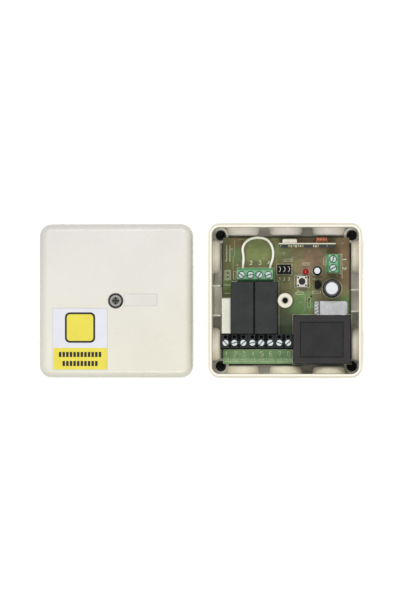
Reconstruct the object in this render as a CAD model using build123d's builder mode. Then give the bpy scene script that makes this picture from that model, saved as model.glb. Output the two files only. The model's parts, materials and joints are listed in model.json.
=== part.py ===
"""Shutter control unit: an open surface box with its circuit board, and its cover lying beside it.

Millimetres, +Z out of the wall. The origin is the centre of the box's back face.
"""

import math
import os

from build123d import *

os.makedirs("parts", exist_ok=True)

# Running and fitting clearances
fit_clearance = 0.1
slide_clearance = 0.1
lid_clearance = 0.15

# Circuit board
board_thickness = 1.6
board_standoff = 7.5
board_margin = 1.1
row_overhang = 0.7
lead_width = 0.6
lead_tail = 1.4
lead_clearance = 0.15

# Box shell
wall = 2.2
floor_thickness = 2.0
corner_radius = 6.5
shoulder_height = 30.5
lip_thickness = 1.1
lip_height = 2.5

# Central pillar
pillar_radius = 4.05
pillar_height = 35.5
pilot_radius = 1.5
pilot_depth = 12.0
funnel_radius = 2.1
funnel_depth = 1.2

# Fixing holes and their grommets
fixing_bore_radius = 1.75
grommet_wall = 0.65
grommet_flange = 0.5
grommet_flange_thickness = 1.2
grommet_depth = 4.0
grommet_sides = 24
boss_radius = 4.4

# Cable entries
entry_radius = 9.3
entry_tip_radius = 7.75
entry_depth = 4.2
entry_height = 17.0
entry_spacing = 24.0
entry_sides = 24
entry_side_offset = 24.5

# Vertical ribs inside the side walls
rib_width = 0.9
rib_depth = 4.4
rib_top = 22.0
left_rib_offset = 8.3
right_rib_offset = 6.0

# Cover and its screw
lid_height = 11.0
lid_plate = 2.2
lid_edge_radius = 4.5
lid_overhang = 0.4
lid_gap = 9.8
lid_boss_radius = 6.0
lid_boss_length = 3.3
screw_head_radius = 3.95
screw_head_height = 2.2
screw_head_sink = 0.2
screw_head_chamfer = 0.6
screw_seat_clearance = 0.45
screw_shank_radius = 1.75
screw_tip_gap = 0.5
recess_length = 4.2
recess_width = 0.9
recess_depth = 1.2

# Screw terminals: housings
pole_pitch = 5.0
housing_height = 10.0
black_front = 3.6
black_back = 4.7
black_bevel = 1.0
green_half_depth = 3.7
green_top_half = 2.5
green_ledge_height = 6.2
green_neck_height = 8.0
green_mouth_clearance = 0.45
black_poles = (3, 3, 2)
black_gap = 0.05
control_poles = 4
bus_poles = 2
control_x = -17.2
bus_setback_x = 9.0
bus_setback_y = 14.8
test_hole_radius = 1.0
test_hole_back = 3.3
test_hole_depth = 4.0
entry_half_width = 1.5
entry_sill = 0.9

# Screw terminals: rising cage, contact and screw
cage_width = 3.8
cage_depth = 3.6
cage_wall = 0.6
cage_roof = 0.8
cage_height = 5.2
cage_rest = 0.6
cage_travel = 2.0
wire_room = 2.3
contact_thickness = 0.5
contact_width = 2.2
contact_front = 2.6
contact_back = 2.5
contact_pin_width = 0.9
clamp_radius = 1.2
clamp_head_radius = 1.8
clamp_head_height = 1.6
clamp_sides = 8
screw_sides = 16

# Link wire between two poles of the control terminal
link_diameter = 1.4
link_sides = 8
link_clearance = 0.03
link_offset = 0.4
link_straight = 0.2

# Relays and suppression capacitor
relay_width = 12.7
relay_length = 29.0
relay_height = 15.7
relay_chamfer = 0.5
relay_seam_height = 2.0
relay_seam = 0.25
relay_gap = 0.6
relay_pillar_gap = 0.4
relay_forward = 10.5
relay_lead_spread = 7.5
relay_coil_lead_y = 12.0
relay_contact_lead_y = (-8.0, -13.0)
capacitor_gap = 0.25
capacitor_width = 5.0
capacitor_length = 19.6
capacitor_height = 11.0
capacitor_edge = 0.5
capacitor_setback = 0.2
capacitor_lead_spread = 15.0
terminal_relay_gap = 0.4
control_relay_gap = 0.2

# Transformer
transformer_length = 32.0
transformer_width = 27.0
transformer_height = 19.5
transformer_edge = 0.8
transformer_gap = 0.3
transformer_inset = 0.3
panel_length = 23.2
panel_width = 18.9
groove_width = 0.5
groove_depth = 0.6
transformer_lead_spread_x = 25.0
transformer_lead_spread_y = 20.0

# Push switch
switch_center = (9.0, 10.8)
switch_side = 6.0
switch_height = 3.2
switch_plate_thickness = 0.3
switch_well_radius = 2.4
switch_well_depth = 1.9
switch_lead_spread_x = 6.5
switch_lead_spread_y = 4.5
rivet_radius = 0.45
rivet_sides = 8
rivet_offset = 2.2
rivet_rise = 0.35
button_radius = 1.75
button_flange = 0.45
button_flange_thickness = 0.7
button_rise = 1.6

# Other parts on the board
led_center = (11.0, 16.3)
led_radius = 1.5
led_flange = 0.4
led_flange_thickness = 1.0
led_height = 5.3
led_lead_pitch = 2.54
small_capacitor_center = (17.6, 16.7)
small_can_radius = 2.5
small_can_height = 11.0
small_can_top_radius = 1.7
small_can_lead_pitch = 2.0
large_capacitor_center = (25.8, 6.8)
large_can_radius = 5.0
large_can_height = 16.0
large_can_top_radius = 3.4
large_can_lead_pitch = 5.0
can_edge = 0.6
can_recess = 0.3
regulator_center = (17.6, 8.9)
regulator_radius = 2.4
regulator_flat = 1.3
regulator_height = 4.8
regulator_stilt = 2.0
regulator_lead_pitch = 1.27
header_center = (-1.0, 17.6)
header_pitch = 2.54
header_columns = 3
header_rows = 2
header_base_height = 2.5
header_pin_height = 8.0
header_pin_width = 0.64
jumper_gap = 0.1
jumper_height = 6.0
jumper_roof = 0.4
jumper_window = 1.1
controller_center = (13.0, 25.0)
controller_length = 9.9
controller_width = 3.9
controller_height = 1.5
controller_leg_pitch = 1.27
controller_legs = 8
controller_leg_width = 0.4
controller_leg_reach = 1.0
controller_leg_thickness = 0.25

# Radio receiver: an upright daughter board with its parts; chips are (x, width, height)
receiver_x = 12.0
receiver_inset = 3.9
receiver_length = 31.8
receiver_height = 13.0
receiver_thickness = 1.0
receiver_lead_pitch = 2.54
receiver_lead_depth = 0.5
receiver_left_leads = 6
receiver_left_lead_x = -14.9
receiver_right_leads = 3
receiver_right_lead_x = 9.5
receiver_pad_height = 2.5
chip_thickness = 1.6
chip_low = 5.0
chips = (
    (-12.7, 3.6, 3.2),
    (0.5, 4.8, 6.0),
    (8.8, 4.0, 5.0),
    (13.4, 3.8, 4.4),
)
filter_x = -9.7
filter_length = 8.0
filter_thickness = 2.3
filter_height = 7.0
filter_low = 5.5
coil_x = 5.3
coil_low = 7.0
coil_radius = 1.15
coil_wire = 0.7
coil_pitch = 1.7
coil_half_turns = 7
coil_wire_sides = 6
coil_samples = 24

# Sizes that follow from the driving ones
black_row_length = sum(black_poles) * pole_pitch + (len(black_poles) - 1) * black_gap
front_row_length = black_row_length + transformer_gap + transformer_length
relay_group = pillar_radius + relay_pillar_gap + 2 * relay_width + relay_gap + capacitor_gap + capacitor_width
board_side = max(front_row_length, 2 * relay_group) - 2 * row_overhang
board_half = board_side / 2
cavity_side = board_side + 2 * (board_margin + entry_depth)
box_side = cavity_side + 2 * wall
box_half = box_side / 2
cavity_radius = corner_radius - wall
lip_step = wall - lip_thickness
lip_top = shoulder_height + lip_height
board_underside = floor_thickness + board_standoff
board_top = board_underside + board_thickness
lead_reach = board_thickness + lead_tail
lead_hole = lead_width + 2 * lead_clearance
fixing_offset = board_half + (fixing_bore_radius + fit_clearance) / math.sqrt(2)
grommet_neck_radius = fixing_bore_radius + grommet_wall
boss_top = board_underside - grommet_flange_thickness

row_left = -front_row_length / 2
transformer_center = (
    row_left + front_row_length - transformer_length / 2,
    -board_half + transformer_inset + transformer_width / 2,
)
relay_y = relay_forward - relay_length / 2
relay_back = relay_forward - relay_length
relay_2_x = -(pillar_radius + relay_pillar_gap + relay_width / 2)
relay_1_x = relay_2_x - relay_width - relay_gap
capacitor_center = (
    relay_1_x - relay_width / 2 - capacitor_gap - capacitor_width / 2,
    relay_back + capacitor_setback + capacitor_length / 2,
)
black_y = relay_back - terminal_relay_gap - black_back
control_y = relay_forward + control_relay_gap + green_half_depth
bus_center = (board_half - bus_setback_x, board_half - bus_setback_y)

leaf_underside = cage_rest + cage_wall + wire_room
leaf_top = leaf_underside + contact_thickness
cavity_top = cage_rest + cage_height + cage_travel + slide_clearance
cavity_half_width = cage_width / 2 + slide_clearance
cavity_front = cage_depth / 2 + slide_clearance
cavity_back = contact_back + slide_clearance
link_lift = wire_room - link_diameter - 2 * link_clearance
link_height = board_top + leaf_underside - link_clearance - link_diameter / 2

receiver_y = board_half - receiver_inset
receiver_front = receiver_y - receiver_thickness / 2
receiver_back = receiver_y + receiver_thickness / 2

lid_side = box_side + 2 * lid_overhang
lid_center_x = -(box_half + lid_gap + lid_side / 2)
lid_underplate = lid_height - lid_plate
lid_boss_bottom = lid_underplate - lid_boss_length
screw_head_top = lid_height - screw_head_sink
screw_head_bottom = screw_head_top - screw_head_height

# Leads of each part, as places about the part's own centre
relay_leads = [
    (side * relay_lead_spread / 2, y)
    for y in (relay_coil_lead_y, *relay_contact_lead_y)
    for side in (-1, 1)
]
capacitor_leads = [(0, side * capacitor_lead_spread / 2) for side in (-1, 1)]
transformer_leads = [
    (x * transformer_lead_spread_x / 2, y * transformer_lead_spread_y / 2)
    for x in (-1, 1)
    for y in (-1, 1)
]
switch_leads = [
    (x * switch_lead_spread_x / 2, y * switch_lead_spread_y / 2)
    for x in (-1, 1)
    for y in (-1, 1)
]
led_leads = [(side * led_lead_pitch / 2, 0) for side in (-1, 1)]
small_can_leads = [(0, side * small_can_lead_pitch / 2) for side in (-1, 1)]
large_can_leads = [(0, side * large_can_lead_pitch / 2) for side in (-1, 1)]
regulator_leads = [(0, step * regulator_lead_pitch) for step in (-1, 0, 1)]
header_leads = [
    ((column - (header_columns - 1) / 2) * header_pitch, (row - (header_rows - 1) / 2) * header_pitch)
    for column in range(header_columns)
    for row in range(header_rows)
]
receiver_leads = [
    (receiver_left_lead_x + step * receiver_lead_pitch, 0) for step in range(receiver_left_leads)
] + [(receiver_right_lead_x + step * receiver_lead_pitch, 0) for step in range(receiver_right_leads)]
receiver_lead_center = (receiver_x, receiver_front - receiver_lead_depth / 2)

leads_on_board = (
    (relay_leads, (relay_1_x, relay_y)),
    (relay_leads, (relay_2_x, relay_y)),
    (capacitor_leads, capacitor_center),
    (transformer_leads, transformer_center),
    (switch_leads, switch_center),
    (led_leads, led_center),
    (small_can_leads, small_capacitor_center),
    (large_can_leads, large_capacitor_center),
    (regulator_leads, regulator_center),
    (header_leads, header_center),
    (receiver_leads, receiver_lead_center),
)


def save(part, label):
    """Names a finished piece and writes it to its own file."""
    part.label = label
    export_step(part, f"parts/{label}.step")


def on_board(center, turn=0.0):
    """A plane on the board's upper face, turned by whole degrees about +Z."""
    angle = math.radians(turn)
    return Plane(
        origin=(*center, board_top),
        x_dir=(math.cos(angle), math.sin(angle), 0),
        z_dir=(0, 0, 1),
    )


def side_of(plane, shift=0.0):
    """The plane whose X is the given plane's Y and whose normal is the given plane's X."""
    return Plane(
        origin=plane.from_local_coords(Vector(shift, 0, 0)),
        x_dir=plane.y_dir,
        z_dir=plane.x_dir,
    )


def half_section_of(plane):
    """The plane for half a turned section: X is radial and Y runs along the given plane's normal."""
    return Plane(origin=plane.origin, x_dir=plane.x_dir, z_dir=plane.x_dir.cross(plane.z_dir))


def shifted(points, center):
    """Moves places about a part's own centre to their places on the board."""
    return [(x + center[0], y + center[1]) for x, y in points]


def lead_section(plane, places):
    """Square sections of wire leads on the given plane."""
    with BuildSketch(plane) as section:
        with Locations(*places):
            Rectangle(lead_width, lead_width)
    return section.sketch


# Places of the cable entries: planes on the box's outer faces that look inwards
def entry_planes():
    planes = []
    for x in (-entry_spacing, 0, entry_spacing):
        planes.append(Plane(origin=(x, -box_half, entry_height), x_dir=(1, 0, 0), z_dir=(0, 1, 0)))
        planes.append(Plane(origin=(x, box_half, entry_height), x_dir=(1, 0, 0), z_dir=(0, -1, 0)))
    for y in (-entry_side_offset, entry_side_offset):
        planes.append(Plane(origin=(-box_half, y, entry_height), x_dir=(0, 1, 0), z_dir=(1, 0, 0)))
        planes.append(Plane(origin=(box_half, y, entry_height), x_dir=(0, 1, 0), z_dir=(-1, 0, 0)))
    return planes


# Box with its central pillar, fixing bosses, ribs and the round cut-outs of the cable entries
def make_base_box():
    rib_x = cavity_side / 2 - rib_depth / 2
    with BuildPart() as base_box:
        with BuildSketch():
            RectangleRounded(box_side, box_side, corner_radius)
        extrude(amount=shoulder_height)
        with BuildSketch(Plane.XY.offset(shoulder_height)):
            RectangleRounded(box_side - 2 * lip_step, box_side - 2 * lip_step, corner_radius - lip_step)
        extrude(amount=lip_height)
        with BuildSketch(Plane.XY.offset(floor_thickness)):
            RectangleRounded(cavity_side, cavity_side, cavity_radius)
        extrude(amount=lip_top - floor_thickness, mode=Mode.SUBTRACT)

        with BuildSketch(Plane.XY.offset(floor_thickness)):
            with GridLocations(2 * fixing_offset, 2 * fixing_offset, 2, 2):
                Circle(boss_radius)
            RectangleRounded(cavity_side, cavity_side, cavity_radius, mode=Mode.INTERSECT)
        extrude(amount=boss_top - floor_thickness)
        with BuildSketch(Plane.XY.offset(floor_thickness)):
            Circle(pillar_radius)
        extrude(amount=pillar_height - floor_thickness)

        with BuildSketch(Plane.XY.offset(floor_thickness)):
            with Locations((-rib_x, left_rib_offset), (-rib_x, -left_rib_offset)):
                Rectangle(rib_depth, rib_width)
            with Locations((rib_x, right_rib_offset), (rib_x, -right_rib_offset)):
                Rectangle(rib_depth, rib_width)
        extrude(amount=rib_top - floor_thickness)

        for plane in entry_planes():
            with BuildSketch(plane):
                RegularPolygon(entry_radius, entry_sides)
            extrude(amount=wall, mode=Mode.SUBTRACT)
        with BuildSketch():
            with GridLocations(2 * fixing_offset, 2 * fixing_offset, 2, 2):
                RegularPolygon(grommet_neck_radius, grommet_sides)
        extrude(amount=boss_top, mode=Mode.SUBTRACT)
        with BuildSketch(Plane.XZ):
            with BuildLine():
                Polyline(
                    (0, pillar_height),
                    (funnel_radius, pillar_height),
                    (pilot_radius, pillar_height - funnel_depth),
                    (pilot_radius, pillar_height - pilot_depth),
                    (0, pillar_height - pilot_depth),
                    close=True,
                )
            make_face()
        revolve(axis=Axis.Z, mode=Mode.SUBTRACT)
    save(base_box.part, "base_box")


# Soft closed entries moulded into the box's round cut-outs, with tapered ends that bulge inwards
def make_cable_entry_membranes():
    with BuildPart() as cable_entry_membranes:
        for plane in entry_planes():
            with BuildSketch(plane):
                RegularPolygon(entry_radius, entry_sides)
            extrude(amount=wall)
            with BuildSketch(plane.offset(wall)):
                RegularPolygon(entry_radius, entry_sides)
            with BuildSketch(plane.offset(wall + entry_depth)):
                RegularPolygon(entry_tip_radius, entry_sides)
            loft(ruled=True)
    save(cable_entry_membranes.part, "cable_entry_membranes")


# Rubber grommets in the corner bosses; the board's corners rest on their flanges
def make_fixing_hole_grommets():
    flange_radius = grommet_neck_radius + grommet_flange
    with BuildPart() as fixing_hole_grommets:
        with BuildSketch(Plane.XY.offset(boss_top)):
            with GridLocations(2 * fixing_offset, 2 * fixing_offset, 2, 2):
                RegularPolygon(flange_radius, grommet_sides)
                Circle(fixing_bore_radius, mode=Mode.SUBTRACT)
        extrude(amount=grommet_flange_thickness)
        with BuildSketch(Plane.XY.offset(boss_top)):
            with GridLocations(2 * fixing_offset, 2 * fixing_offset, 2, 2):
                RegularPolygon(grommet_neck_radius, grommet_sides)
                Circle(fixing_bore_radius, mode=Mode.SUBTRACT)
        extrude(amount=-grommet_depth)
    save(fixing_hole_grommets.part, "fixing_hole_grommets")


# Cover: a shallow tray whose rim fits round the box's lip, with a boss under its screw
def make_lid():
    lid_plane = Plane(origin=(lid_center_x, 0, 0))
    rebate_side = box_side - 2 * (lip_step - lid_clearance)
    with BuildPart() as lid:
        with BuildSketch(lid_plane):
            RectangleRounded(lid_side, lid_side, corner_radius + lid_overhang)
        extrude(amount=lid_height)
        fillet(lid.faces().sort_by(Axis.Z)[-1].edges(), lid_edge_radius)
        with BuildSketch(lid_plane):
            RectangleRounded(cavity_side, cavity_side, cavity_radius)
        extrude(amount=lid_underplate, mode=Mode.SUBTRACT)
        with BuildSketch(lid_plane):
            RectangleRounded(rebate_side, rebate_side, corner_radius - lip_step + lid_clearance)
        extrude(amount=lip_height + lid_clearance, mode=Mode.SUBTRACT)
        with BuildSketch(lid_plane.offset(lid_boss_bottom)):
            Circle(lid_boss_radius)
        extrude(amount=lid_boss_length)
        with BuildSketch(lid_plane.offset(screw_head_bottom)):
            Circle(screw_head_radius + screw_seat_clearance)
        extrude(amount=lid_height - screw_head_bottom, mode=Mode.SUBTRACT)
        with BuildSketch(lid_plane.offset(lid_boss_bottom)):
            Circle(screw_shank_radius + slide_clearance)
        extrude(amount=screw_head_bottom - lid_boss_bottom, mode=Mode.SUBTRACT)
    save(lid.part, "lid")


# Cover screw, held in the lid, with a cross recess
def make_cover_screw():
    screw_plane = Plane(origin=(lid_center_x, 0, 0))
    with BuildPart() as cover_screw:
        with BuildSketch(Plane(origin=screw_plane.origin, x_dir=(1, 0, 0), z_dir=(0, -1, 0))):
            with BuildLine():
                Polyline(
                    (0, screw_tip_gap),
                    (screw_shank_radius, screw_tip_gap),
                    (screw_shank_radius, screw_head_bottom),
                    (screw_head_radius, screw_head_bottom),
                    (screw_head_radius, screw_head_top - screw_head_chamfer),
                    (screw_head_radius - screw_head_chamfer, screw_head_top),
                    (0, screw_head_top),
                    close=True,
                )
            make_face()
        revolve(axis=Axis((lid_center_x, 0, 0), (0, 0, 1)))
        with BuildSketch(screw_plane.offset(screw_head_top)):
            Rectangle(recess_length, recess_width)
            Rectangle(recess_width, recess_length)
        extrude(amount=-recess_depth, mode=Mode.SUBTRACT)
    save(cover_screw.part, "cover_screw")


# Circuit board with the pillar's hole and a hole for every lead
def make_circuit_board():
    pin_hole_width = contact_pin_width + 2 * lead_clearance
    pin_hole_depth = contact_thickness + 2 * lead_clearance
    with BuildPart() as circuit_board:
        with BuildSketch(Plane.XY.offset(board_underside)):
            Rectangle(board_side, board_side)
            Circle(pillar_radius + fit_clearance, mode=Mode.SUBTRACT)
            for leads, center in leads_on_board:
                with Locations(*shifted(leads, center)):
                    Rectangle(lead_hole, lead_hole, mode=Mode.SUBTRACT)
            for plane in pole_planes():
                pin = plane.from_local_coords(Vector(0, contact_thickness / 2 - contact_back, 0))
                with Locations((pin.X, pin.Y)):
                    turned = abs(plane.x_dir.Y) > 0.5
                    width = pin_hole_depth if turned else pin_hole_width
                    depth = pin_hole_width if turned else pin_hole_depth
                    Rectangle(width, depth, mode=Mode.SUBTRACT)
        extrude(amount=board_thickness)
    save(circuit_board.part, "circuit_board")


# Terminal blocks as (name, poles, plane at the block's middle on the pole axis)
def terminal_blocks():
    blocks = []
    left = row_left
    for index, poles in enumerate(black_poles, start=1):
        length = poles * pole_pitch
        middle = (left + length / 2, black_y)
        blocks.append((f"power_terminal_{index}", poles, on_board(middle, 180)))
        left += length + black_gap
    blocks.append(("control_terminal", control_poles, on_board((control_x, control_y))))
    blocks.append(("bus_terminal", bus_poles, on_board(bus_center, -90)))
    return blocks


def poles_of(poles, plane):
    """Planes on the board at the poles of one block, with Y towards the wire entries."""
    places = []
    for index in range(poles):
        shift = (index - (poles - 1) / 2) * pole_pitch
        places.append(Plane(origin=plane.from_local_coords(Vector(shift, 0, 0)), x_dir=plane.x_dir))
    return places


def pole_planes():
    """Planes at every pole of every terminal block."""
    return [pole for _, poles, plane in terminal_blocks() for pole in poles_of(poles, plane)]


def black_profile():
    """Side outline of the mains terminal: a bevelled block."""
    return (
        (-black_back, 0),
        (black_front, 0),
        (black_front, housing_height - black_bevel),
        (black_front - black_bevel, housing_height),
        (-black_back, housing_height),
    )


def green_profile():
    """Side outline of the control terminal: a wide foot, slopes, and a narrow top."""
    return (
        (-green_half_depth, 0),
        (green_half_depth, 0),
        (green_half_depth, green_ledge_height),
        (green_top_half, green_neck_height),
        (green_top_half, housing_height),
        (-green_top_half, housing_height),
        (-green_top_half, green_neck_height),
        (-green_half_depth, green_ledge_height),
    )


# Terminal housing: a bar with a cage cavity, a screw hole and a wire entry at each pole
def make_terminal_housing(name, poles, plane, profile, front, test_holes):
    length = poles * pole_pitch
    screw_hole = clamp_head_radius + (slide_clearance if test_holes else green_mouth_clearance)
    with BuildPart() as housing:
        with BuildSketch(side_of(plane, -length / 2)):
            with BuildLine():
                Polyline(*profile, close=True)
            make_face()
        extrude(amount=length)
        with BuildSketch(plane):
            with GridLocations(pole_pitch, 0, poles, 1):
                with Locations((0, (cavity_front - cavity_back) / 2)):
                    Rectangle(2 * cavity_half_width, cavity_front + cavity_back)
        extrude(amount=cavity_top, mode=Mode.SUBTRACT)
        with BuildSketch(plane.offset(housing_height)):
            with GridLocations(pole_pitch, 0, poles, 1):
                RegularPolygon(screw_hole, screw_sides)
        extrude(amount=cavity_top - housing_height, mode=Mode.SUBTRACT)
        with BuildSketch(plane.offset(entry_sill)):
            with GridLocations(pole_pitch, 0, poles, 1):
                with Locations((0, (cavity_front + front) / 2)):
                    Rectangle(2 * entry_half_width, front - cavity_front)
        extrude(amount=leaf_top + slide_clearance / 2 - entry_sill, mode=Mode.SUBTRACT)
        if test_holes:
            with BuildSketch(plane.offset(housing_height)):
                with GridLocations(pole_pitch, 0, poles, 1):
                    with Locations((0, -test_hole_back)):
                        RegularPolygon(test_hole_radius, clamp_sides)
            extrude(amount=-test_hole_depth, mode=Mode.SUBTRACT)
    save(housing.part, name)


# Contacts: a leaf through each cage, bent down into a pin that is soldered through the board
def make_terminal_contacts():
    with BuildPart() as terminal_contacts:
        for plane in pole_planes():
            with BuildSketch(side_of(plane, -contact_width / 2)):
                with BuildLine():
                    Polyline(
                        (-contact_back, 0),
                        (contact_thickness - contact_back, 0),
                        (contact_thickness - contact_back, leaf_underside),
                        (contact_front, leaf_underside),
                        (contact_front, leaf_top),
                        (-contact_back, leaf_top),
                        close=True,
                    )
                make_face()
            extrude(amount=contact_width)
            with BuildSketch(plane):
                with Locations((0, contact_thickness / 2 - contact_back)):
                    Rectangle(contact_pin_width, contact_thickness)
            extrude(amount=-lead_reach)
    save(terminal_contacts.part, "terminal_contacts")


# Clamp screw: it turns in place on the contact leaf and draws the cage up
def make_terminal_screw(name, plane):
    head_bottom = cavity_top
    head_top = head_bottom + clamp_head_height
    with BuildPart() as terminal_screw:
        with BuildSketch(plane.offset(leaf_top + slide_clearance)):
            RegularPolygon(clamp_radius, clamp_sides)
        extrude(amount=head_bottom - leaf_top - slide_clearance)
        with BuildSketch(plane.offset(head_bottom)):
            RegularPolygon(clamp_head_radius, screw_sides)
        extrude(amount=head_top - head_bottom)
    save(terminal_screw.part, name)


# Rising cage: a square tube round the wire and the contact leaf, with the screw's hole in its roof
def make_terminal_cage(name, plane, lift):
    bottom = cage_rest + lift
    with BuildPart() as terminal_cage:
        with BuildSketch(side_of(plane, -cage_width / 2)):
            with Locations((0, bottom + cage_height / 2)):
                Rectangle(cage_depth, cage_height)
        extrude(amount=cage_width)
        with BuildSketch(side_of(plane, cage_wall - cage_width / 2)):
            with Locations((0, bottom + (cage_wall + cage_height - cage_roof) / 2)):
                Rectangle(cage_depth, cage_height - cage_wall - cage_roof)
        extrude(amount=cage_width - 2 * cage_wall, mode=Mode.SUBTRACT)
        with BuildSketch(plane.offset(bottom + cage_height)):
            RegularPolygon(clamp_radius + slide_clearance, clamp_sides)
        extrude(amount=-cage_roof, mode=Mode.SUBTRACT)
    save(terminal_cage.part, name)


# All terminals: housings, then contacts, then the screw and the cage of each pole
def make_terminals():
    number = 0
    for name, poles, plane in terminal_blocks():
        is_power = name.startswith("power")
        profile = black_profile() if is_power else green_profile()
        front = black_front if is_power else green_half_depth
        make_terminal_housing(name, poles, plane, profile, front, is_power)
        for index, pole in enumerate(poles_of(poles, plane)):
            number += 1
            holds_link = name == "control_terminal" and index in (0, poles - 1)
            make_terminal_screw(f"terminal_screw_{number:02d}", pole)
            make_terminal_cage(f"terminal_cage_{number:02d}", pole, link_lift if holds_link else 0)
    make_terminal_contacts()


def link_route():
    """Corners of the link wire's path, from pole 1 of the control terminal round to pole 4."""
    outer_pole = (control_poles - 1) / 2 * pole_pitch
    first_x = control_x - outer_pole + link_offset
    last_x = control_x + outer_pole + link_offset
    stop_y = control_y - contact_back + contact_thickness
    exit_y = control_y + green_half_depth + link_straight
    return [
        (first_x, stop_y, link_height),
        (first_x, exit_y, link_height),
        (-23.6, 24.3, 14.9),
        (-24.7, 30.0, 15.9),
        (-21.4, 34.3, 16.5),
        (-15.8, 35.6, 16.9),
        (-10.2, 34.5, 16.6),
        (-7.3, 30.0, 16.0),
        (-7.0, 24.3, 14.9),
        (last_x, exit_y, link_height),
        (last_x, stop_y, link_height),
    ]


def bend_radii(points):
    """Largest bends the runs allow: 0.45 of the shorter run over the tangent of half the turn."""
    radii = []
    for before, corner, after in zip(points, points[1:], points[2:]):
        first = Vector(*corner) - Vector(*before)
        second = Vector(*after) - Vector(*corner)
        half_turn = math.radians(first.get_angle(second)) / 2
        radii.append(0.45 * min(first.length, second.length) / math.tan(half_turn))
    return radii


# Link wire: an insulated wire clamped in poles 1 and 4 of the control terminal
def make_link_wire():
    points = link_route()
    radii = bend_radii(points)
    print("link wire bend radii", [round(radius, 1) for radius in radii])
    with BuildPart() as link_wire:
        with BuildLine():
            path = FilletPolyline(*points, radius=radii)
        with BuildSketch(Plane(origin=points[0], z_dir=path % 0)):
            RegularPolygon(link_diameter / 2, link_sides)
        sweep(path=path)
    section = link_sides / 2 * (link_diameter / 2) ** 2 * math.sin(2 * math.pi / link_sides)
    share = link_wire.part.volume / section / path.length
    print("link wire length", round(path.length, 1), "volume share", round(share, 4))
    save(link_wire.part, "link_wire")


# Sealed relay: a case on a base, with a seam line between them
def make_relay(name, center_x):
    plane = on_board((center_x, relay_y))
    with BuildPart() as relay:
        with BuildSketch(plane):
            Rectangle(relay_width, relay_length)
        extrude(amount=relay_height)
        chamfer(relay.faces().sort_by(Axis.Z)[-1].edges(), relay_chamfer)
        with BuildSketch(plane.offset(relay_seam_height)):
            Rectangle(relay_width, relay_length)
            Rectangle(relay_width - 2 * relay_seam, relay_length - 2 * relay_seam, mode=Mode.SUBTRACT)
        extrude(amount=relay_seam, mode=Mode.SUBTRACT)
        extrude(lead_section(plane, relay_leads), amount=-lead_reach)
    save(relay.part, name)


# Boxed film capacitor that suppresses interference
def make_suppression_capacitor():
    plane = on_board(capacitor_center)
    with BuildPart() as suppression_capacitor:
        with BuildSketch(plane):
            Rectangle(capacitor_width, capacitor_length)
        extrude(amount=capacitor_height)
        chamfer(suppression_capacitor.faces().sort_by(Axis.Z)[-1].edges(), capacitor_edge)
        extrude(lead_section(plane, capacitor_leads), amount=-lead_reach)
    save(suppression_capacitor.part, "suppression_capacitor")


# Encapsulated transformer with a panel outlined by a groove in its top
def make_transformer():
    plane = on_board(transformer_center)
    with BuildPart() as transformer:
        with BuildSketch(plane):
            Rectangle(transformer_length, transformer_width)
        extrude(amount=transformer_height)
        fillet(transformer.edges().filter_by(Axis.Z), transformer_edge)
        chamfer(transformer.faces().sort_by(Axis.Z)[-1].edges(), transformer_edge / 2)
        with BuildSketch(plane.offset(transformer_height)):
            Rectangle(panel_length + 2 * groove_width, panel_width + 2 * groove_width)
            Rectangle(panel_length, panel_width, mode=Mode.SUBTRACT)
        extrude(amount=-groove_depth, mode=Mode.SUBTRACT)
        extrude(lead_section(plane, transformer_leads), amount=-lead_reach)
    save(transformer.part, "transformer")


# Push switch: body with the button's well and four rivets, and the metal plate that they hold
def make_switch():
    plane = on_board(switch_center)
    with BuildPart() as switch_body:
        with BuildSketch(plane):
            Rectangle(switch_side, switch_side)
        extrude(amount=switch_height)
        with BuildSketch(plane.offset(switch_height)):
            Circle(switch_well_radius)
        extrude(amount=-switch_well_depth, mode=Mode.SUBTRACT)
        with BuildSketch(plane.offset(switch_height)):
            with GridLocations(2 * rivet_offset, 2 * rivet_offset, 2, 2):
                RegularPolygon(rivet_radius, rivet_sides)
        extrude(amount=rivet_rise + switch_plate_thickness)
        extrude(lead_section(plane, switch_leads), amount=-lead_reach)
        with BuildSketch(plane):
            for side in (-1, 1):
                with Locations((0, side * switch_lead_spread_y / 2)):
                    Rectangle(switch_lead_spread_x + lead_width, lead_width)
        extrude(amount=lead_width)
    save(switch_body.part, "switch_body")
    with BuildPart() as switch_plate:
        with BuildSketch(plane.offset(switch_height)):
            Rectangle(switch_side, switch_side)
            Circle(button_radius + slide_clearance, mode=Mode.SUBTRACT)
            with GridLocations(2 * rivet_offset, 2 * rivet_offset, 2, 2):
                RegularPolygon(rivet_radius + fit_clearance / 2, rivet_sides, mode=Mode.SUBTRACT)
        extrude(amount=switch_plate_thickness)
    save(switch_plate.part, "switch_plate")


# Button: a round stem whose flange is held under the metal plate
def make_push_button():
    plane = on_board(switch_center)
    flange_top = switch_height - slide_clearance / 2
    with BuildPart() as push_button:
        with BuildSketch(plane.offset(flange_top - button_flange_thickness)):
            Circle(button_radius + button_flange)
        extrude(amount=button_flange_thickness)
        with BuildSketch(plane.offset(flange_top)):
            Circle(button_radius)
        extrude(amount=slide_clearance / 2 + switch_plate_thickness + button_rise)
    save(push_button.part, "push_button")


# Status light: a clear domed body on a flange
def make_status_led():
    plane = on_board(led_center)
    straight = led_height - led_radius
    with BuildPart() as status_led:
        with BuildSketch(half_section_of(plane)):
            with BuildLine():
                Polyline(
                    (0, 0),
                    (led_radius + led_flange, 0),
                    (led_radius + led_flange, led_flange_thickness),
                    (led_radius, led_flange_thickness),
                    (led_radius, straight),
                )
                RadiusArc((led_radius, straight), (0, led_height), -led_radius)
                Line((0, led_height), (0, 0))
            make_face()
        revolve(axis=Axis(plane.origin, plane.z_dir))
        extrude(lead_section(plane, led_leads), amount=-lead_reach)
    save(status_led.part, "status_led")


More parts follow.
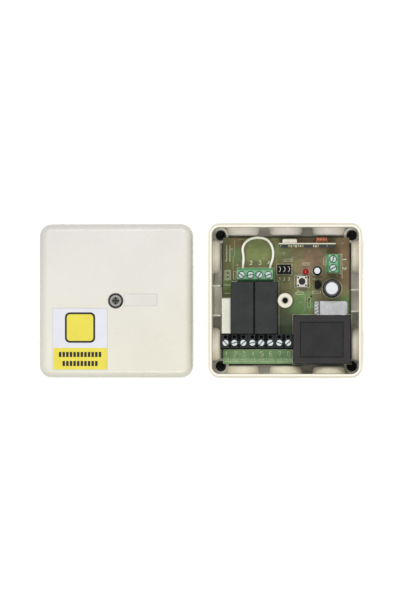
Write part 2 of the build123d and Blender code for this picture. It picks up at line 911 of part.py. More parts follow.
# Electrolytic capacitor: a can with a rolled edge round its recessed metal top
def make_can(name, center, radius, height, top_radius, leads):
    plane = on_board(center)
    with BuildPart() as can:
        with BuildSketch(half_section_of(plane)):
            with BuildLine():
                Polyline(
                    (0, 0),
                    (radius, 0),
                    (radius, height - can_edge),
                    (radius - can_edge, height),
                    (top_radius, height),
                    (top_radius, height - can_recess),
                    (0, height - can_recess),
                    close=True,
                )
            make_face()
        revolve(axis=Axis(plane.origin, plane.z_dir))
        extrude(lead_section(plane, leads), amount=-lead_reach)
    save(can.part, name)


# Voltage regulator: a D-shaped body that stands on its three leads, with its flat to the left
def make_voltage_regulator():
    plane = on_board(regulator_center)
    with BuildPart() as voltage_regulator:
        with BuildSketch(plane.offset(regulator_stilt)):
            Circle(regulator_radius)
            with Locations((-regulator_flat - regulator_radius, 0)):
                Rectangle(2 * regulator_radius, 2 * regulator_radius, mode=Mode.SUBTRACT)
        extrude(amount=regulator_height)
        stilts = lead_section(plane.offset(regulator_stilt), regulator_leads)
        extrude(stilts, amount=-regulator_stilt - lead_reach)
    save(voltage_regulator.part, "voltage_regulator")


# Pin header and its jumpers, one over each column of pins
def make_jumper_header():
    plane = on_board(header_center)
    with BuildPart() as jumper_header:
        with BuildSketch(plane):
            Rectangle(header_columns * header_pitch, header_rows * header_pitch)
        extrude(amount=header_base_height)
        with BuildSketch(plane.offset(header_pin_height)):
            with Locations(*header_leads):
                Rectangle(header_pin_width, header_pin_width)
        extrude(amount=header_base_height - header_pin_height)
        extrude(lead_section(plane, header_leads), amount=-lead_reach)
    save(jumper_header.part, "jumper_header")


def make_jumper(name, column):
    plane = on_board(header_center)
    x = (column - (header_columns - 1) / 2) * header_pitch
    bottom = header_base_height + jumper_gap
    slot_width = header_pin_width + 2 * slide_clearance
    slot_length = (header_rows - 1) * header_pitch + slot_width
    with BuildPart() as jumper:
        with BuildSketch(plane.offset(bottom)):
            with Locations((x, 0)):
                Rectangle(header_pitch - jumper_gap, header_rows * header_pitch - jumper_gap)
        extrude(amount=jumper_height)
        with BuildSketch(plane.offset(bottom)):
            with Locations((x, 0)):
                Rectangle(slot_width, slot_length)
        extrude(amount=jumper_height - jumper_roof, mode=Mode.SUBTRACT)
        with BuildSketch(plane.offset(bottom + jumper_height)):
            with Locations((x, 0)):
                Rectangle(slot_width, jumper_window)
        extrude(amount=-jumper_roof, mode=Mode.SUBTRACT)
    save(jumper.part, name)


# Controller chip under the board, on two rows of legs
def make_microcontroller():
    body_top = board_underside - controller_leg_thickness
    with BuildPart() as microcontroller:
        with BuildSketch(Plane.XY.offset(body_top)):
            with Locations(controller_center):
                Rectangle(controller_length, controller_width)
        extrude(amount=-controller_height)
        with BuildSketch(Plane.XY.offset(board_underside)):
            with Locations(controller_center):
                with GridLocations(controller_leg_pitch, 0, controller_legs, 1):
                    Rectangle(controller_leg_width, controller_width + 2 * controller_leg_reach)
        extrude(amount=-controller_leg_thickness)
    save(microcontroller.part, "microcontroller")


# Receiver: an upright board with chips on its front and pins down its lower edge
def make_receiver_module():
    front = Plane(origin=(receiver_x, receiver_front, board_top), x_dir=(1, 0, 0), z_dir=(0, -1, 0))
    with BuildPart() as receiver_module:
        with BuildSketch(front):
            with Locations((0, receiver_height / 2)):
                Rectangle(receiver_length, receiver_height)
        extrude(amount=-receiver_thickness)
        with BuildSketch(front):
            for x, width, height in chips:
                with Locations((x, chip_low + height / 2)):
                    Rectangle(width, height)
        extrude(amount=chip_thickness)
        with BuildSketch(front):
            for x, _ in receiver_leads:
                with Locations((x, (receiver_pad_height - lead_reach) / 2)):
                    Rectangle(lead_width, receiver_pad_height + lead_reach)
        extrude(amount=receiver_lead_depth)
    save(receiver_module.part, "receiver_module")


# Ceramic filter block on the receiver's back
def make_receiver_filter():
    back = Plane(origin=(receiver_x, receiver_back, board_top), x_dir=(-1, 0, 0), z_dir=(0, 1, 0))
    with BuildPart() as receiver_filter:
        with BuildSketch(back):
            with Locations((-filter_x, filter_low + filter_height / 2)):
                Rectangle(filter_length, filter_height)
        extrude(amount=filter_thickness)
        chamfer(receiver_filter.faces().sort_by(Axis.Y)[-1].edges(), capacitor_edge)
    save(receiver_filter.part, "receiver_filter")


def least_gap(points, reach, wire):
    """Least clear gap between stretches of a path that lie further apart along it than the reach."""
    least = math.inf
    for index, point in enumerate(points):
        for other in points[index + reach :]:
            least = min(least, (point - other).length - wire)
    return least


# Receiver coil: one copper wire wound in half turns, with both ends square to the board
def make_receiver_coil():
    center_y = receiver_back + coil_radius + coil_wire
    low = board_top + coil_low
    start_x = receiver_x + coil_x
    corners = [
        Vector(start_x + step * coil_pitch / 2, center_y, low + (step % 2) * 2 * coil_radius)
        for step in range(coil_half_turns + 1)
    ]
    swing = math.hypot(coil_pitch / 2, 2 * coil_radius) / 2
    with BuildPart() as receiver_coil:
        with BuildLine() as path:
            Line((start_x, receiver_back, low), corners[0])
            for step, (first, second) in enumerate(zip(corners, corners[1:])):
                outwards = Vector(0, swing if step % 2 == 0 else -swing, 0)
                ThreePointArc(first, (first + second) * 0.5 + outwards, second)
            Line(corners[-1], (corners[-1].X, receiver_back, corners[-1].Z))
        with BuildSketch(Plane(origin=(start_x, receiver_back, low), x_dir=(1, 0, 0), z_dir=(0, 1, 0))):
            RegularPolygon(coil_wire / 2, coil_wire_sides)
        sweep(path=path.wire())
    steps = coil_half_turns * coil_samples
    points = [path.wire() @ (index / steps) for index in range(steps + 1)]
    print("receiver coil least gap", round(least_gap(points, coil_samples, coil_wire), 2))
    save(receiver_coil.part, "receiver_coil")


make_base_box()
make_cable_entry_membranes()
make_fixing_hole_grommets()
make_lid()
make_cover_screw()
make_circuit_board()
make_terminals()
make_link_wire()
make_relay("relay_1", relay_1_x)
make_relay("relay_2", relay_2_x)
make_suppression_capacitor()
make_transformer()
make_switch()
make_push_button()
make_status_led()
make_can(
    "small_capacitor",
    small_capacitor_center,
    small_can_radius,
    small_can_height,
    small_can_top_radius,
    small_can_leads,
)
make_can(
    "large_capacitor",
    large_capacitor_center,
    large_can_radius,
    large_can_height,
    large_can_top_radius,
    large_can_leads,
)
make_voltage_regulator()
make_jumper_header()
for column in range(header_columns):
    make_jumper(f"jumper_{column + 1}", column)
make_microcontroller()
make_receiver_module()
make_receiver_filter()
make_receiver_coil()
print("box side", round(box_side, 2), "board side", round(board_side, 2))
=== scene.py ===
"""Looks of the shutter control unit, in metres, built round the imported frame.

The box lies on its back with its mouth up, and its cover lies beside it. +Z is out of the wall.
"""

import json
import math

import bmesh
import bpy
from mathutils import Matrix, Vector


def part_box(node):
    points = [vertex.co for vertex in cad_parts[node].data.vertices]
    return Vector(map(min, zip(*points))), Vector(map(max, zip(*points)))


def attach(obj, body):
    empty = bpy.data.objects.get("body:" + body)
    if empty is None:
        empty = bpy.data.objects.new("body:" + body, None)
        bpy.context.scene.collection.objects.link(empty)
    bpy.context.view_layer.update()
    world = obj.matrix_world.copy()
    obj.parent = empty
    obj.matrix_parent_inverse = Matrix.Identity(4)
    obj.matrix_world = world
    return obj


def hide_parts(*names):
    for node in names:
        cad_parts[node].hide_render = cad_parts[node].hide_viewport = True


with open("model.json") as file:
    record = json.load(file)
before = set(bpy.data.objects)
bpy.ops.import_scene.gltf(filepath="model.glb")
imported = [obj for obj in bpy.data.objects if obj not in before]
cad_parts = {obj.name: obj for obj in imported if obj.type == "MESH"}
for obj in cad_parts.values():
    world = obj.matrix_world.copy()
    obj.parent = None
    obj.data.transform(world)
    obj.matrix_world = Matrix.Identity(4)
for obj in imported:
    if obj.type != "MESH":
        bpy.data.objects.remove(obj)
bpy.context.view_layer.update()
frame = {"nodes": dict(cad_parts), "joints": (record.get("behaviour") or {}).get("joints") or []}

MM = 0.001

# Places and sizes that the frame gives
BOARD_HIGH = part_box("circuit_board")[1]
BOARD_TOP = BOARD_HIGH.z
BOX_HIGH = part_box("base_box")[1]
LID_LOW, LID_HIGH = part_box("lid")
LID_CENTER = (LID_LOW + LID_HIGH) / 2
RECEIVER_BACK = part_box("receiver_filter")[0].y
RECEIVER_THICKNESS = 1.0 * MM
RECEIVER_FRONT = RECEIVER_BACK - RECEIVER_THICKNESS
JOINT_PLACES = {joint["name"]: joint.get("pos_m") for joint in frame["joints"]}
POLES = [Vector(JOINT_PLACES[f"terminal_screw_{number:02d}_turn"]) for number in range(1, 15)]
POWER_POLE_COUNT = 8
POWER_POLES = sorted(POLES[:POWER_POLE_COUNT], key=lambda place: place.x)
CONTROL_POLES = POLES[POWER_POLE_COUNT:12]
BUS_POLES = POLES[12:]


def center_and_top(node):
    """The centre of a node's box, and its highest corner."""
    low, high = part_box(node)
    return (low + high) / 2, high


def in_metres(points):
    return [tuple(value * MM for value in point) for point in points]


# Colours and materials


def rgb(red, green, blue):
    """A colour given in 0 to 255 as it looks on screen, as linear values."""
    values = []
    for value in (red, green, blue):
        share = value / 255
        values.append(share / 12.92 if share <= 0.04045 else ((share + 0.055) / 1.055) ** 2.4)
    return (*values, 1.0)


class Surface:
    """A node material under construction, worked out in the row frame's metres.

    What goes into a node is a plain value or a socket.
    """

    def __init__(self, name):
        self.material = bpy.data.materials.new(name)
        self.material.use_nodes = True
        self.nodes = self.material.node_tree.nodes
        self.links = self.material.node_tree.links
        self.shader = self.nodes["Principled BSDF"]
        self.place = self.nodes.new("ShaderNodeTexCoord").outputs["Object"]
        self.x, self.y, self.z = self.node("SeparateXYZ", Vector=self.place).outputs

    def join(self, value, socket):
        if isinstance(value, bpy.types.NodeSocket):
            self.links.new(value, socket)
        else:
            socket.default_value = value

    def node(self, kind, setting=None, **inputs):
        """Adds a node: a setting is its name and value, and inputs have underscores for spaces."""
        node = self.nodes.new(f"ShaderNode{kind}")
        if setting:
            setattr(node, *setting)
        for name, value in inputs.items():
            self.join(value, node.inputs[name.replace("_", " ")])
        return node

    def noise(self, scale, detail=3.0, roughness=0.55, stretch=None):
        """A noise texture with features of about 1 / scale metres."""
        place = self.place
        if stretch:
            place = self.node("Mapping", Vector=place, Scale=stretch).outputs["Vector"]
        node = self.node("TexNoise", Vector=place, Scale=scale, Detail=detail, Roughness=roughness)
        return node.outputs["Fac"]

    def remap(self, value, low, high, to_low=0.0, to_high=1.0):
        """The value taken from one range to another, and held inside it."""
        node = self.node("MapRange", Value=value, From_Min=low, From_Max=high, To_Min=to_low, To_Max=to_high)
        return node.outputs["Result"]

    def mix(self, share, first, second):
        """A colour between two."""
        return self.node("Mix", ("data_type", "RGBA"), Factor=share, A=first, B=second).outputs["Result"]

    def layered(self, tone, *layers):
        """A tone with layers over it, each a share and a tone of its own."""
        for share, over in layers:
            tone = self.mix(share, tone, over)
        return tone

    def blotches(self, scale, dark, light):
        """Two tones that drift into each other over about 1 / scale metres."""
        return self.mix(self.remap(self.noise(scale, detail=4.0), 0.35, 0.65), dark, light)

    def math(self, operation, first, second=0.0):
        node = self.node("Math", ("operation", operation))
        self.join(first, node.inputs[0])
        self.join(second, node.inputs[1])
        return node.outputs[0]

    def times(self, *factors):
        """The product of two or more shares."""
        product = factors[0]
        for factor in factors[1:]:
            product = self.math("MULTIPLY", product, factor)
        return product

    def above(self, value, threshold):
        """1 where the value is above the threshold."""
        return self.math("GREATER_THAN", value, threshold)

    def below(self, value, threshold):
        """1 where the value is below the threshold."""
        return self.math("LESS_THAN", value, threshold)

    def reach(self, center):
        """Distance from an upright line through a place."""
        across = self.math("SUBTRACT", self.x, center[0])
        along = self.math("SUBTRACT", self.y, center[1])
        return self.math("SQRT", self.math("ADD", self.times(across, across), self.times(along, along)))

    def near(self, center, radius):
        """1 inside an upright round column."""
        return self.below(self.reach(center), radius)

    def within(self, center, half):
        """1 inside an upright rectangular column."""
        sides = []
        for value, middle, room in zip((self.x, self.y), center, half):
            distance = self.math("ABSOLUTE", self.math("SUBTRACT", value, middle))
            sides.append(self.below(distance, room))
        return self.times(*sides)

    def spot(self, center, radius, wander):
        """1 round a place, fading out unevenly over the outer half of the radius."""
        return self.remap(self.math("ADD", self.reach(center), wander), radius, radius / 2)

    def upward(self, normal):
        """How far a normal points up: the geometry node names it as Normal or True Normal."""
        geometry = self.node("NewGeometry")
        return self.node("SeparateXYZ", Vector=geometry.outputs[normal]).outputs["Z"]

    def tilt(self):
        """0 on faces that look up, rising to 1 on upright ones."""
        return self.remap(self.upward("Normal"), 0.97, 0.3)

    def facing_up(self):
        """1 on faces that look up, 0 on walls."""
        return self.above(self.upward("True Normal"), 0.7)

    def outward(self):
        """1 on faces that look away from the box's middle."""
        product = self.node("VectorMath", ("operation", "DOT_PRODUCT"))
        self.join(self.node("NewGeometry").outputs["True Normal"], product.inputs[0])
        self.join(self.place, product.inputs[1])
        return self.above(product.outputs["Value"], 0.0)

    def set(self, **values):
        """Sets or links inputs of the shader, named with underscores for spaces."""
        for name, value in values.items():
            self.join(value, self.shader.inputs[name.replace("_", " ")])

    def color(self, value):
        self.set(Base_Color=value)

    def relief(self, height, distance, edge=0.0):
        """Bump from a height socket, over edges softened by the given radius."""
        bump = self.node("Bump", Height=height, Distance=distance, Strength=1.0)
        if edge:
            bevel = self.node("Bevel", ("samples", 6), Radius=edge)
            self.join(bevel.outputs["Normal"], bump.inputs["Normal"])
        self.set(Normal=bump.outputs["Normal"])


# The pillar and the frame's origin are at the box's middle
MIDDLE = (0.0, 0.0)
METAL_GRAIN = 1500
# Black of the painted shade in the power terminals' holes and pockets
PAINTED_SHADE_BLACK = rgb(8, 9, 10)


def scattering(weight, *reach):
    """Settings that let light sink in, with a reach in millimetres for red, green and blue."""
    radius = [value * MM for value in reach]
    return {"Subsurface_Weight": weight, "Subsurface_Radius": radius, "Subsurface_Scale": 1.0}


def moulded(name, rough, grain=0.02 * MM, grain_scale=2500, blotch=90, edge=0.18 * MM, coat=0.0, shine=0.3):
    """Moulded plastic that still lacks its colour: a fine matt grain and softened edges."""
    surface = Surface(name)
    uneven = surface.remap(surface.noise(blotch * 6), 0.3, 0.7, rough - 0.06, rough + 0.06)
    surface.set(Roughness=uneven, Specular_IOR_Level=shine, Coat_Weight=coat, Coat_Roughness=0.1)
    surface.relief(surface.noise(grain_scale, detail=2.0), grain, edge)
    return surface


def plastic(name, rough, dark, light, blotch=90, **finish):
    """Moulded plastic whose two tones drift into each other."""
    surface = moulded(name, rough, blotch=blotch, **finish)
    surface.color(surface.blotches(blotch, dark, light))
    return surface.material


def metal_grain(surface, rough, stretch=None):
    """Gives a surface the grain of metal, and returns the grain as a share for its tones."""
    grain = surface.noise(METAL_GRAIN, detail=4.0, stretch=stretch)
    surface.set(Roughness=surface.remap(grain, 0.3, 0.7, rough, rough + 0.15))
    surface.relief(grain, 0.01 * MM, 0.1 * MM)
    return surface.remap(grain, 0.3, 0.7)


def metal(name, rough, dark, light, stretch=None):
    """Plated or drawn metal with a brushed or mottled grain."""
    surface = Surface(name)
    surface.color(surface.mix(metal_grain(surface, rough, stretch), dark, light))
    surface.set(Metallic=1.0)
    return surface.material


def coated(name, dark, light, scale, relief_scale, depth, detail=4.0, spread=(0.35, 0.65), **finish):
    """A thin coat or film: two tones that drift into each other, and a slight relief."""
    surface = Surface(name)
    surface.color(surface.mix(surface.remap(surface.noise(scale, detail=detail), *spread), dark, light))
    surface.relief(surface.noise(relief_scale), depth)
    surface.set(**finish)
    return surface.material


# Where the box's painted light and shade change: depths below its mouth, heights above its back and reaches
# from its middle
LIP_DROP = 3.0 * MM
LIP_FADE = 14.0 * MM
FUNNEL_DEPTH = 1.15 * MM
RIB_LOW = 12.0 * MM
FLOOR_LEVEL = 3.0 * MM
BOARD_SHADE = 1.0 * MM
PILOT_RADIUS = 1.6 * MM
PILLAR_REACH = 5.0 * MM
OUTER_REACH = 37.0 * MM


def box_plastic():
    """Cream plastic with painted shade: greyer on low ledges, the pillar and the outer sides, dark on the
    floor beside the board and down the screw hole, and a paler tone towards the mouth as painted light.
    """
    surface = moulded("box_plastic", 0.38, edge=0.35 * MM)
    up = surface.facing_up()
    # Painted shade: faces that look up above RIB_LOW turn greyer, as shade deep in the box
    ledge = surface.times(up, surface.above(surface.z, RIB_LOW), 0.8)
    # Painted shadow: the box floor just past the board's edges is darkened as the shadow under the board
    beside_board = surface.within(MIDDLE, (BOARD_HIGH.x + BOARD_SHADE, BOARD_HIGH.y + BOARD_SHADE))
    floor = surface.times(up, surface.below(surface.z, FLOOR_LEVEL), beside_board)
    # Painted light: a paler tone rising towards the mouth, which also lifts the ledge shade off the shoulder
    rising = surface.remap(surface.z, BOX_HIGH.z - LIP_FADE, BOX_HIGH.z - LIP_DROP)
    # Painted shade: outer faces turned away from the middle darken as they tilt upright
    past_walls = surface.math("SUBTRACT", 1.0, surface.within(MIDDLE, (OUTER_REACH, OUTER_REACH)))
    outer = surface.times(past_walls, surface.outward(), surface.tilt(), 0.8)
    # Painted shade: the pilot hole down the pillar is painted dark below the funnel
    deep = surface.below(surface.z, BOX_HIGH.z - FUNNEL_DEPTH)
    hole = surface.times(surface.near(MIDDLE, PILOT_RADIUS), deep)
    surface.color(surface.layered(
        surface.blotches(90, rgb(240, 236, 222), rgb(248, 245, 233)),
        (ledge, rgb(186, 181, 165)),
        (floor, rgb(104, 98, 84)),
        (rising, rgb(246, 242, 226)),
        # Painted shade: the pillar is toned greyer than the rest of the box top
        (surface.near(MIDDLE, PILLAR_REACH), rgb(224, 220, 202)),
        (outer, rgb(198, 194, 175)),
        (hole, rgb(40, 38, 34)),
    ))
    surface.set(**scattering(0.08, 2.0, 1.6, 1.0))
    return surface.material


LID_GRADIENT = 35.0 * MM


def lid_plastic():
    """Smooth cream plastic, warmer towards the front, with painted shade darkening its rounded edges."""
    surface = moulded("lid_plastic", 0.3, grain=0.004 * MM, grain_scale=900, blotch=18, edge=0.4 * MM,
                      coat=0.3)
    forward = surface.remap(surface.y, LID_GRADIENT, -LID_GRADIENT)
    top = surface.blotches(18, surface.mix(forward, rgb(216, 213, 207), rgb(222, 219, 204)),
                           surface.mix(forward, rgb(222, 219, 213), rgb(228, 226, 211)))
    # Painted shade: the rounded edges turn darker as they tilt away from facing up
    surface.color(surface.mix(surface.times(surface.tilt(), 0.7), top, rgb(184, 184, 168)))
    surface.set(**scattering(0.06, 2.0, 1.6, 1.0))
    return surface.material


# Where the membranes take paler tones as painted light: inset from the outer walls, and the fade along Y
ENTRY_INSIDE = 2.5 * MM
WALL_FADE = (30.0 * MM, 35.0 * MM)


def membrane_rubber():
    """Cream rubber, a little paler inside the box along its front and back walls, as painted light."""
    surface = moulded("membrane_rubber", 0.55, grain=0.03 * MM, grain_scale=1800, blotch=160, edge=0.0)
    inside = surface.within(MIDDLE, (BOX_HIGH.x - ENTRY_INSIDE, BOX_HIGH.y - ENTRY_INSIDE))
    start, end = WALL_FADE
    # Painted light: paler tones on the membranes along the back and front walls
    backward = surface.times(inside, surface.remap(surface.y, start, end))
    forward = surface.times(inside, surface.remap(surface.y, -start, -end))
    surface.color(surface.layered(
        surface.blotches(160, rgb(206, 199, 180), rgb(220, 214, 197)),
        (backward, surface.blotches(160, rgb(222, 216, 204), rgb(232, 227, 217))),
        (forward, surface.blotches(160, rgb(238, 230, 204), rgb(246, 240, 218))),
    ))
    surface.set(**scattering(0.25, 4.0, 3.0, 2.0))
    return surface.material


MASK_GLOSS = {"Specular_IOR_Level": 0.2, "Coat_Weight": 0.08, "Coat_Roughness": 0.3}

# Uneven patches of the board's mask: tone, then place and radius in millimetres
BOARD_SPOTS = (
    (rgb(122, 168, 100), 9.0, -3.0, 8.5),
    (rgb(96, 142, 80), 33.5, 0.0, 6.0),
    (rgb(64, 88, 66), 0.0, -16.5, 11.0),
    (rgb(120, 134, 76), -16.0, 28.0, 10.0),
    (rgb(150, 122, 96), 15.0, 23.5, 9.0),
    (rgb(128, 102, 72), 33.0, 28.0, 11.0),
    (rgb(124, 96, 64), -28.0, 32.5, 5.0),
    (rgb(88, 118, 72), -27.5, 26.0, 5.0),
    (rgb(92, 118, 60), -32.5, 8.0, 5.5),
    (rgb(116, 94, 62), 33.5, 12.5, 8.0),
    (rgb(124, 134, 84), -1.0, 28.0, 7.0),
)

# Where each side of the board takes on its own tone: from nothing to its full share
LEFT_FADE = (-27.0 * MM, -32.0 * MM)
RIGHT_FADE = (-2.0 * MM, 12.0 * MM)
BACK_FADE = (6.0 * MM, 18.0 * MM)
FRONT_FADE = (-25.0 * MM, -28.0 * MM)
WANDER = 3.0 * MM


def board_laminate():
    """Solder mask: darker at the left, brown at the back right and green in front, with pale cut edges."""
    surface = Surface("board_laminate")
    drift = surface.remap(surface.noise(60, detail=5.0, roughness=0.6), 0.38, 0.62)
    mottle = surface.remap(surface.noise(320, detail=4.0, roughness=0.65), 0.42, 0.66)
    wander = surface.remap(surface.noise(110, detail=4.0), 0.3, 0.7, -WANDER, WANDER)
    across = surface.math("ADD", surface.x, wander)
    along = surface.math("ADD", surface.y, wander)
    warm = surface.times(surface.remap(across, *RIGHT_FADE), surface.remap(along, *BACK_FADE), 0.8)
    spots = []
    for tone, x, y, radius in BOARD_SPOTS:
        spots.append((surface.times(surface.spot((x * MM, y * MM), radius * MM, wander), 0.85), tone))
    green = surface.mix(drift, rgb(144, 188, 130), rgb(162, 206, 148))
    mask = surface.layered(
        surface.mix(drift, rgb(115, 109, 70), rgb(127, 121, 81)),
        (surface.remap(across, *LEFT_FADE, 0.0, 0.75), rgb(84, 90, 50)),
        (warm, rgb(142, 122, 88)),
        *spots,
        (surface.remap(along, *FRONT_FADE, 0.0, 0.9), green),
        (surface.times(mottle, 0.3), rgb(76, 80, 50)),
    )
    edge = surface.mix(surface.noise(900), rgb(150, 144, 96), rgb(180, 174, 128))
    surface.color(surface.mix(surface.facing_up(), edge, mask))
    surface.relief(surface.noise(1600), 0.01 * MM)
    surface.set(Roughness=0.5, **MASK_GLOSS)
    return surface.material


CAN_RECESS_DEPTH = 0.6 * MM


def can_material(name, node, recess_radius):
    """Shrink sleeve down the side and rim of a can, with bare aluminium in the recess of its top."""
    center, high = center_and_top(node)
    surface = Surface(name)
    at_top = surface.above(surface.z, high.z - CAN_RECESS_DEPTH)
    bare = surface.times(surface.near(center, recess_radius), at_top)
    leads = surface.below(surface.z, BOARD_TOP)
    shining = surface.math("MAXIMUM", bare, leads)
    grain = surface.noise(1400)
    aluminium = surface.mix(grain, rgb(176, 177, 180), rgb(202, 203, 205))
    sleeve = surface.mix(surface.remap(surface.noise(300), 0.4, 0.6), rgb(14, 15, 20), rgb(30, 32, 40))
    surface.color(surface.mix(shining, sleeve, aluminium))
    surface.set(Metallic=surface.remap(shining, 0.0, 1.0, 0.0, 0.75),
                Roughness=surface.remap(shining, 0.0, 1.0, 0.28, 0.42))
    surface.relief(grain, 0.008 * MM, 0.2 * MM)
    return surface.material


def plastic_with_painted_edge_highlight(name, node, rough, margin, rim, inner, grain=0.02 * MM):
    """Moulded plastic with a painted highlight: its sides and a narrow rim round its top take the paler rim
    pair of tones, the rest of the top the inner pair.
    """
    center, high = center_and_top(node)
    surface = moulded(name, rough, grain=grain, shine=0.2)
    inside = surface.within(center, (high.x - center.x - margin, high.y - center.y - margin))
    surface.color(surface.mix(inside, surface.blotches(110, *rim), surface.blotches(110, *inner)))
    return surface.material


# The cover screw's bright ring, between its rim and centre darkened as painted shade, and its driving recess,
# painted dark as shade
RING_INNER = 2.0 * MM
RING_OUTER = 3.15 * MM
RECESS_RADIUS = 2.6 * MM
RECESS_DROP = 0.25 * MM


def cover_screw_steel():
    """Turned steel, bright in a ring, with painted shade darkening its rim, its centre and its driving
    recess.
    """
    center, high = center_and_top("cover_screw")
    surface = Surface("screw_steel")
    grain = metal_grain(surface, 0.4)
    reach = surface.reach(center)
    # Painted shade: darker outside and inside the bright ring
    painted_shade_off_ring = surface.math("MAXIMUM", surface.above(reach, RING_OUTER), surface.below(reach, RING_INNER))
    # Painted shade: the sunk driving recess is near black and not metallic
    sunk = surface.below(surface.z, high.z - RECESS_DROP)
    painted_recess_shade = surface.times(surface.below(reach, RECESS_RADIUS), sunk)
    surface.color(surface.layered(
        surface.mix(grain, rgb(112, 112, 110), rgb(150, 150, 147)),
        (surface.times(painted_shade_off_ring, 0.75), rgb(56, 56, 55)),
        (painted_recess_shade, rgb(16, 16, 16)),
    ))
    surface.set(Metallic=surface.remap(painted_recess_shade, 0.0, 1.0, 1.0, 0.0))
    return surface.material


# Painted shade in pockets between neighbouring power poles: their shift along Y from the screws, and their
# half sizes
POCKETS = (
    (2.9 * MM, (1.0 * MM, 1.7 * MM)),
    (-1.7 * MM, (0.6 * MM, 0.8 * MM)),
)
NEIGHBOUR_REACH = 5.02 * MM
HOLE_DROP = 0.5 * MM


def terminal_plastic():
    """Dark terminal housings, painted darkest and least shiny below their tops and in the pockets between
    their poles, as painted shade.
    """
    surface = moulded("power_terminal_plastic", 0.42)
    at_top = surface.above(surface.z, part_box("power_terminal_1")[1].z - HOLE_DROP)
    painted_pocket_shade = 0.0
    for first, second in zip(POWER_POLES, POWER_POLES[1:]):
        if second.x - first.x < NEIGHBOUR_REACH:
            for shift, half in POCKETS:
                middle = ((first.x + second.x) / 2, first.y + shift)
                painted_pocket_shade = surface.math("MAXIMUM", surface.within(middle, half), painted_pocket_shade)
    # Painted shade: near black in the pockets and below the tops, with less shine
    top = surface.mix(painted_pocket_shade, surface.blotches(90, rgb(24, 29, 31), rgb(36, 41, 43)), PAINTED_SHADE_BLACK)
    surface.color(surface.mix(at_top, PAINTED_SHADE_BLACK, top))
    shine = surface.math("SUBTRACT", at_top, painted_pocket_shade)
    surface.set(Specular_IOR_Level=surface.remap(shine, 0.0, 1.0, 0.04, 0.2))
    return surface.material


PANEL_HALF = (11.9 * MM, 9.8 * MM)
GROOVE_DROP = 0.1 * MM


def transformer_plastic():
    """Matt dark casing whose panel is outlined by a groove painted darker as shade."""
    center, high = center_and_top("transformer")
    surface = moulded("transformer_plastic", 0.5, grain=0.04 * MM, shine=0.2)
    panel = surface.within(center, PANEL_HALF)
    # Painted shade: the groove inside the panel outline is painted near black
    groove = surface.times(panel, surface.below(surface.z, high.z - GROOVE_DROP))
    surface.color(surface.layered(
        surface.blotches(90, rgb(42, 40, 41), rgb(50, 48, 49)),
        (panel, surface.blotches(90, rgb(33, 33, 33), rgb(41, 41, 41))),
        (groove, rgb(14, 14, 14)),
    ))
    return surface.material


CHIP_LOW = 4.0 * MM
CHIP_GAP = 0.02 * MM
PALE_EDGE_START = 0.35 * MM


def receiver_laminate():
    """The upright board: green mask, black chips in front of it and tinned leads low down."""
    surface = Surface("receiver_laminate")
    in_front = surface.below(surface.y, RECEIVER_FRONT - CHIP_GAP)
    low_down = surface.below(surface.z, BOARD_TOP + CHIP_LOW)
    cut_edge = surface.above(surface.y, RECEIVER_FRONT + PALE_EDGE_START)
    mask = surface.mix(surface.noise(200), rgb(38, 78, 48), rgb(70, 112, 72))
    edge = surface.mix(surface.noise(900), rgb(196, 186, 164), rgb(226, 214, 196))
    chip = surface.mix(surface.noise(1200), rgb(22, 22, 24), rgb(40, 40, 42))
    tin = surface.mix(surface.noise(1200), rgb(176, 178, 180), rgb(220, 221, 222))
    board = surface.mix(surface.times(surface.facing_up(), cut_edge), mask, edge)
    surface.color(surface.mix(in_front, board, surface.mix(low_down, chip, tin)))
    surface.relief(surface.noise(1500), 0.01 * MM, 0.1 * MM)
    surface.set(Roughness=0.4, Metallic=surface.times(in_front, low_down))
    return surface.material


MEMBRANE = membrane_rubber()
GROMMET = plastic("grommet_rubber", 0.62, rgb(14, 14, 14), rgb(30, 29, 28), grain=0.03 * MM, edge=0.0)
POWER_PLASTIC = terminal_plastic()
GREEN_PLASTIC = plastic("control_terminal_plastic", 0.4, rgb(98, 166, 118), rgb(130, 194, 147))
BLACK_PLASTIC = plastic("black_plastic", 0.45, rgb(9, 9, 10), rgb(20, 20, 22), shine=0.08)
WIRE_PLASTIC = plastic("wire_insulation", 0.35, rgb(246, 246, 230), rgb(252, 252, 241), edge=0.0)
CERAMIC = plastic("filter_ceramic", 0.45, rgb(206, 200, 183), rgb(222, 217, 202), blotch=300)
COPPER = plastic("coil_copper", 0.28, rgb(196, 108, 72), rgb(224, 144, 108), edge=0.0, coat=0.4, shine=0.5)
# Pale grey of the painted glint on the jumpers' roofs
CLIP_GLINT = plastic("painted_clip_glint", 0.4, rgb(178, 176, 168), rgb(206, 204, 196), edge=0.0)
CLAMP_STEEL = metal("clamp_steel", 0.3, rgb(156, 160, 162), rgb(190, 194, 194))
# The control and bus screws' greener, darker steel is a painted green reflection of their housings with
# painted shade
GREEN_REFLECTING_CLAMP_STEEL = metal("clamp_steel_painted_green_reflection", 0.3, rgb(132, 150, 142), rgb(166, 180, 173))
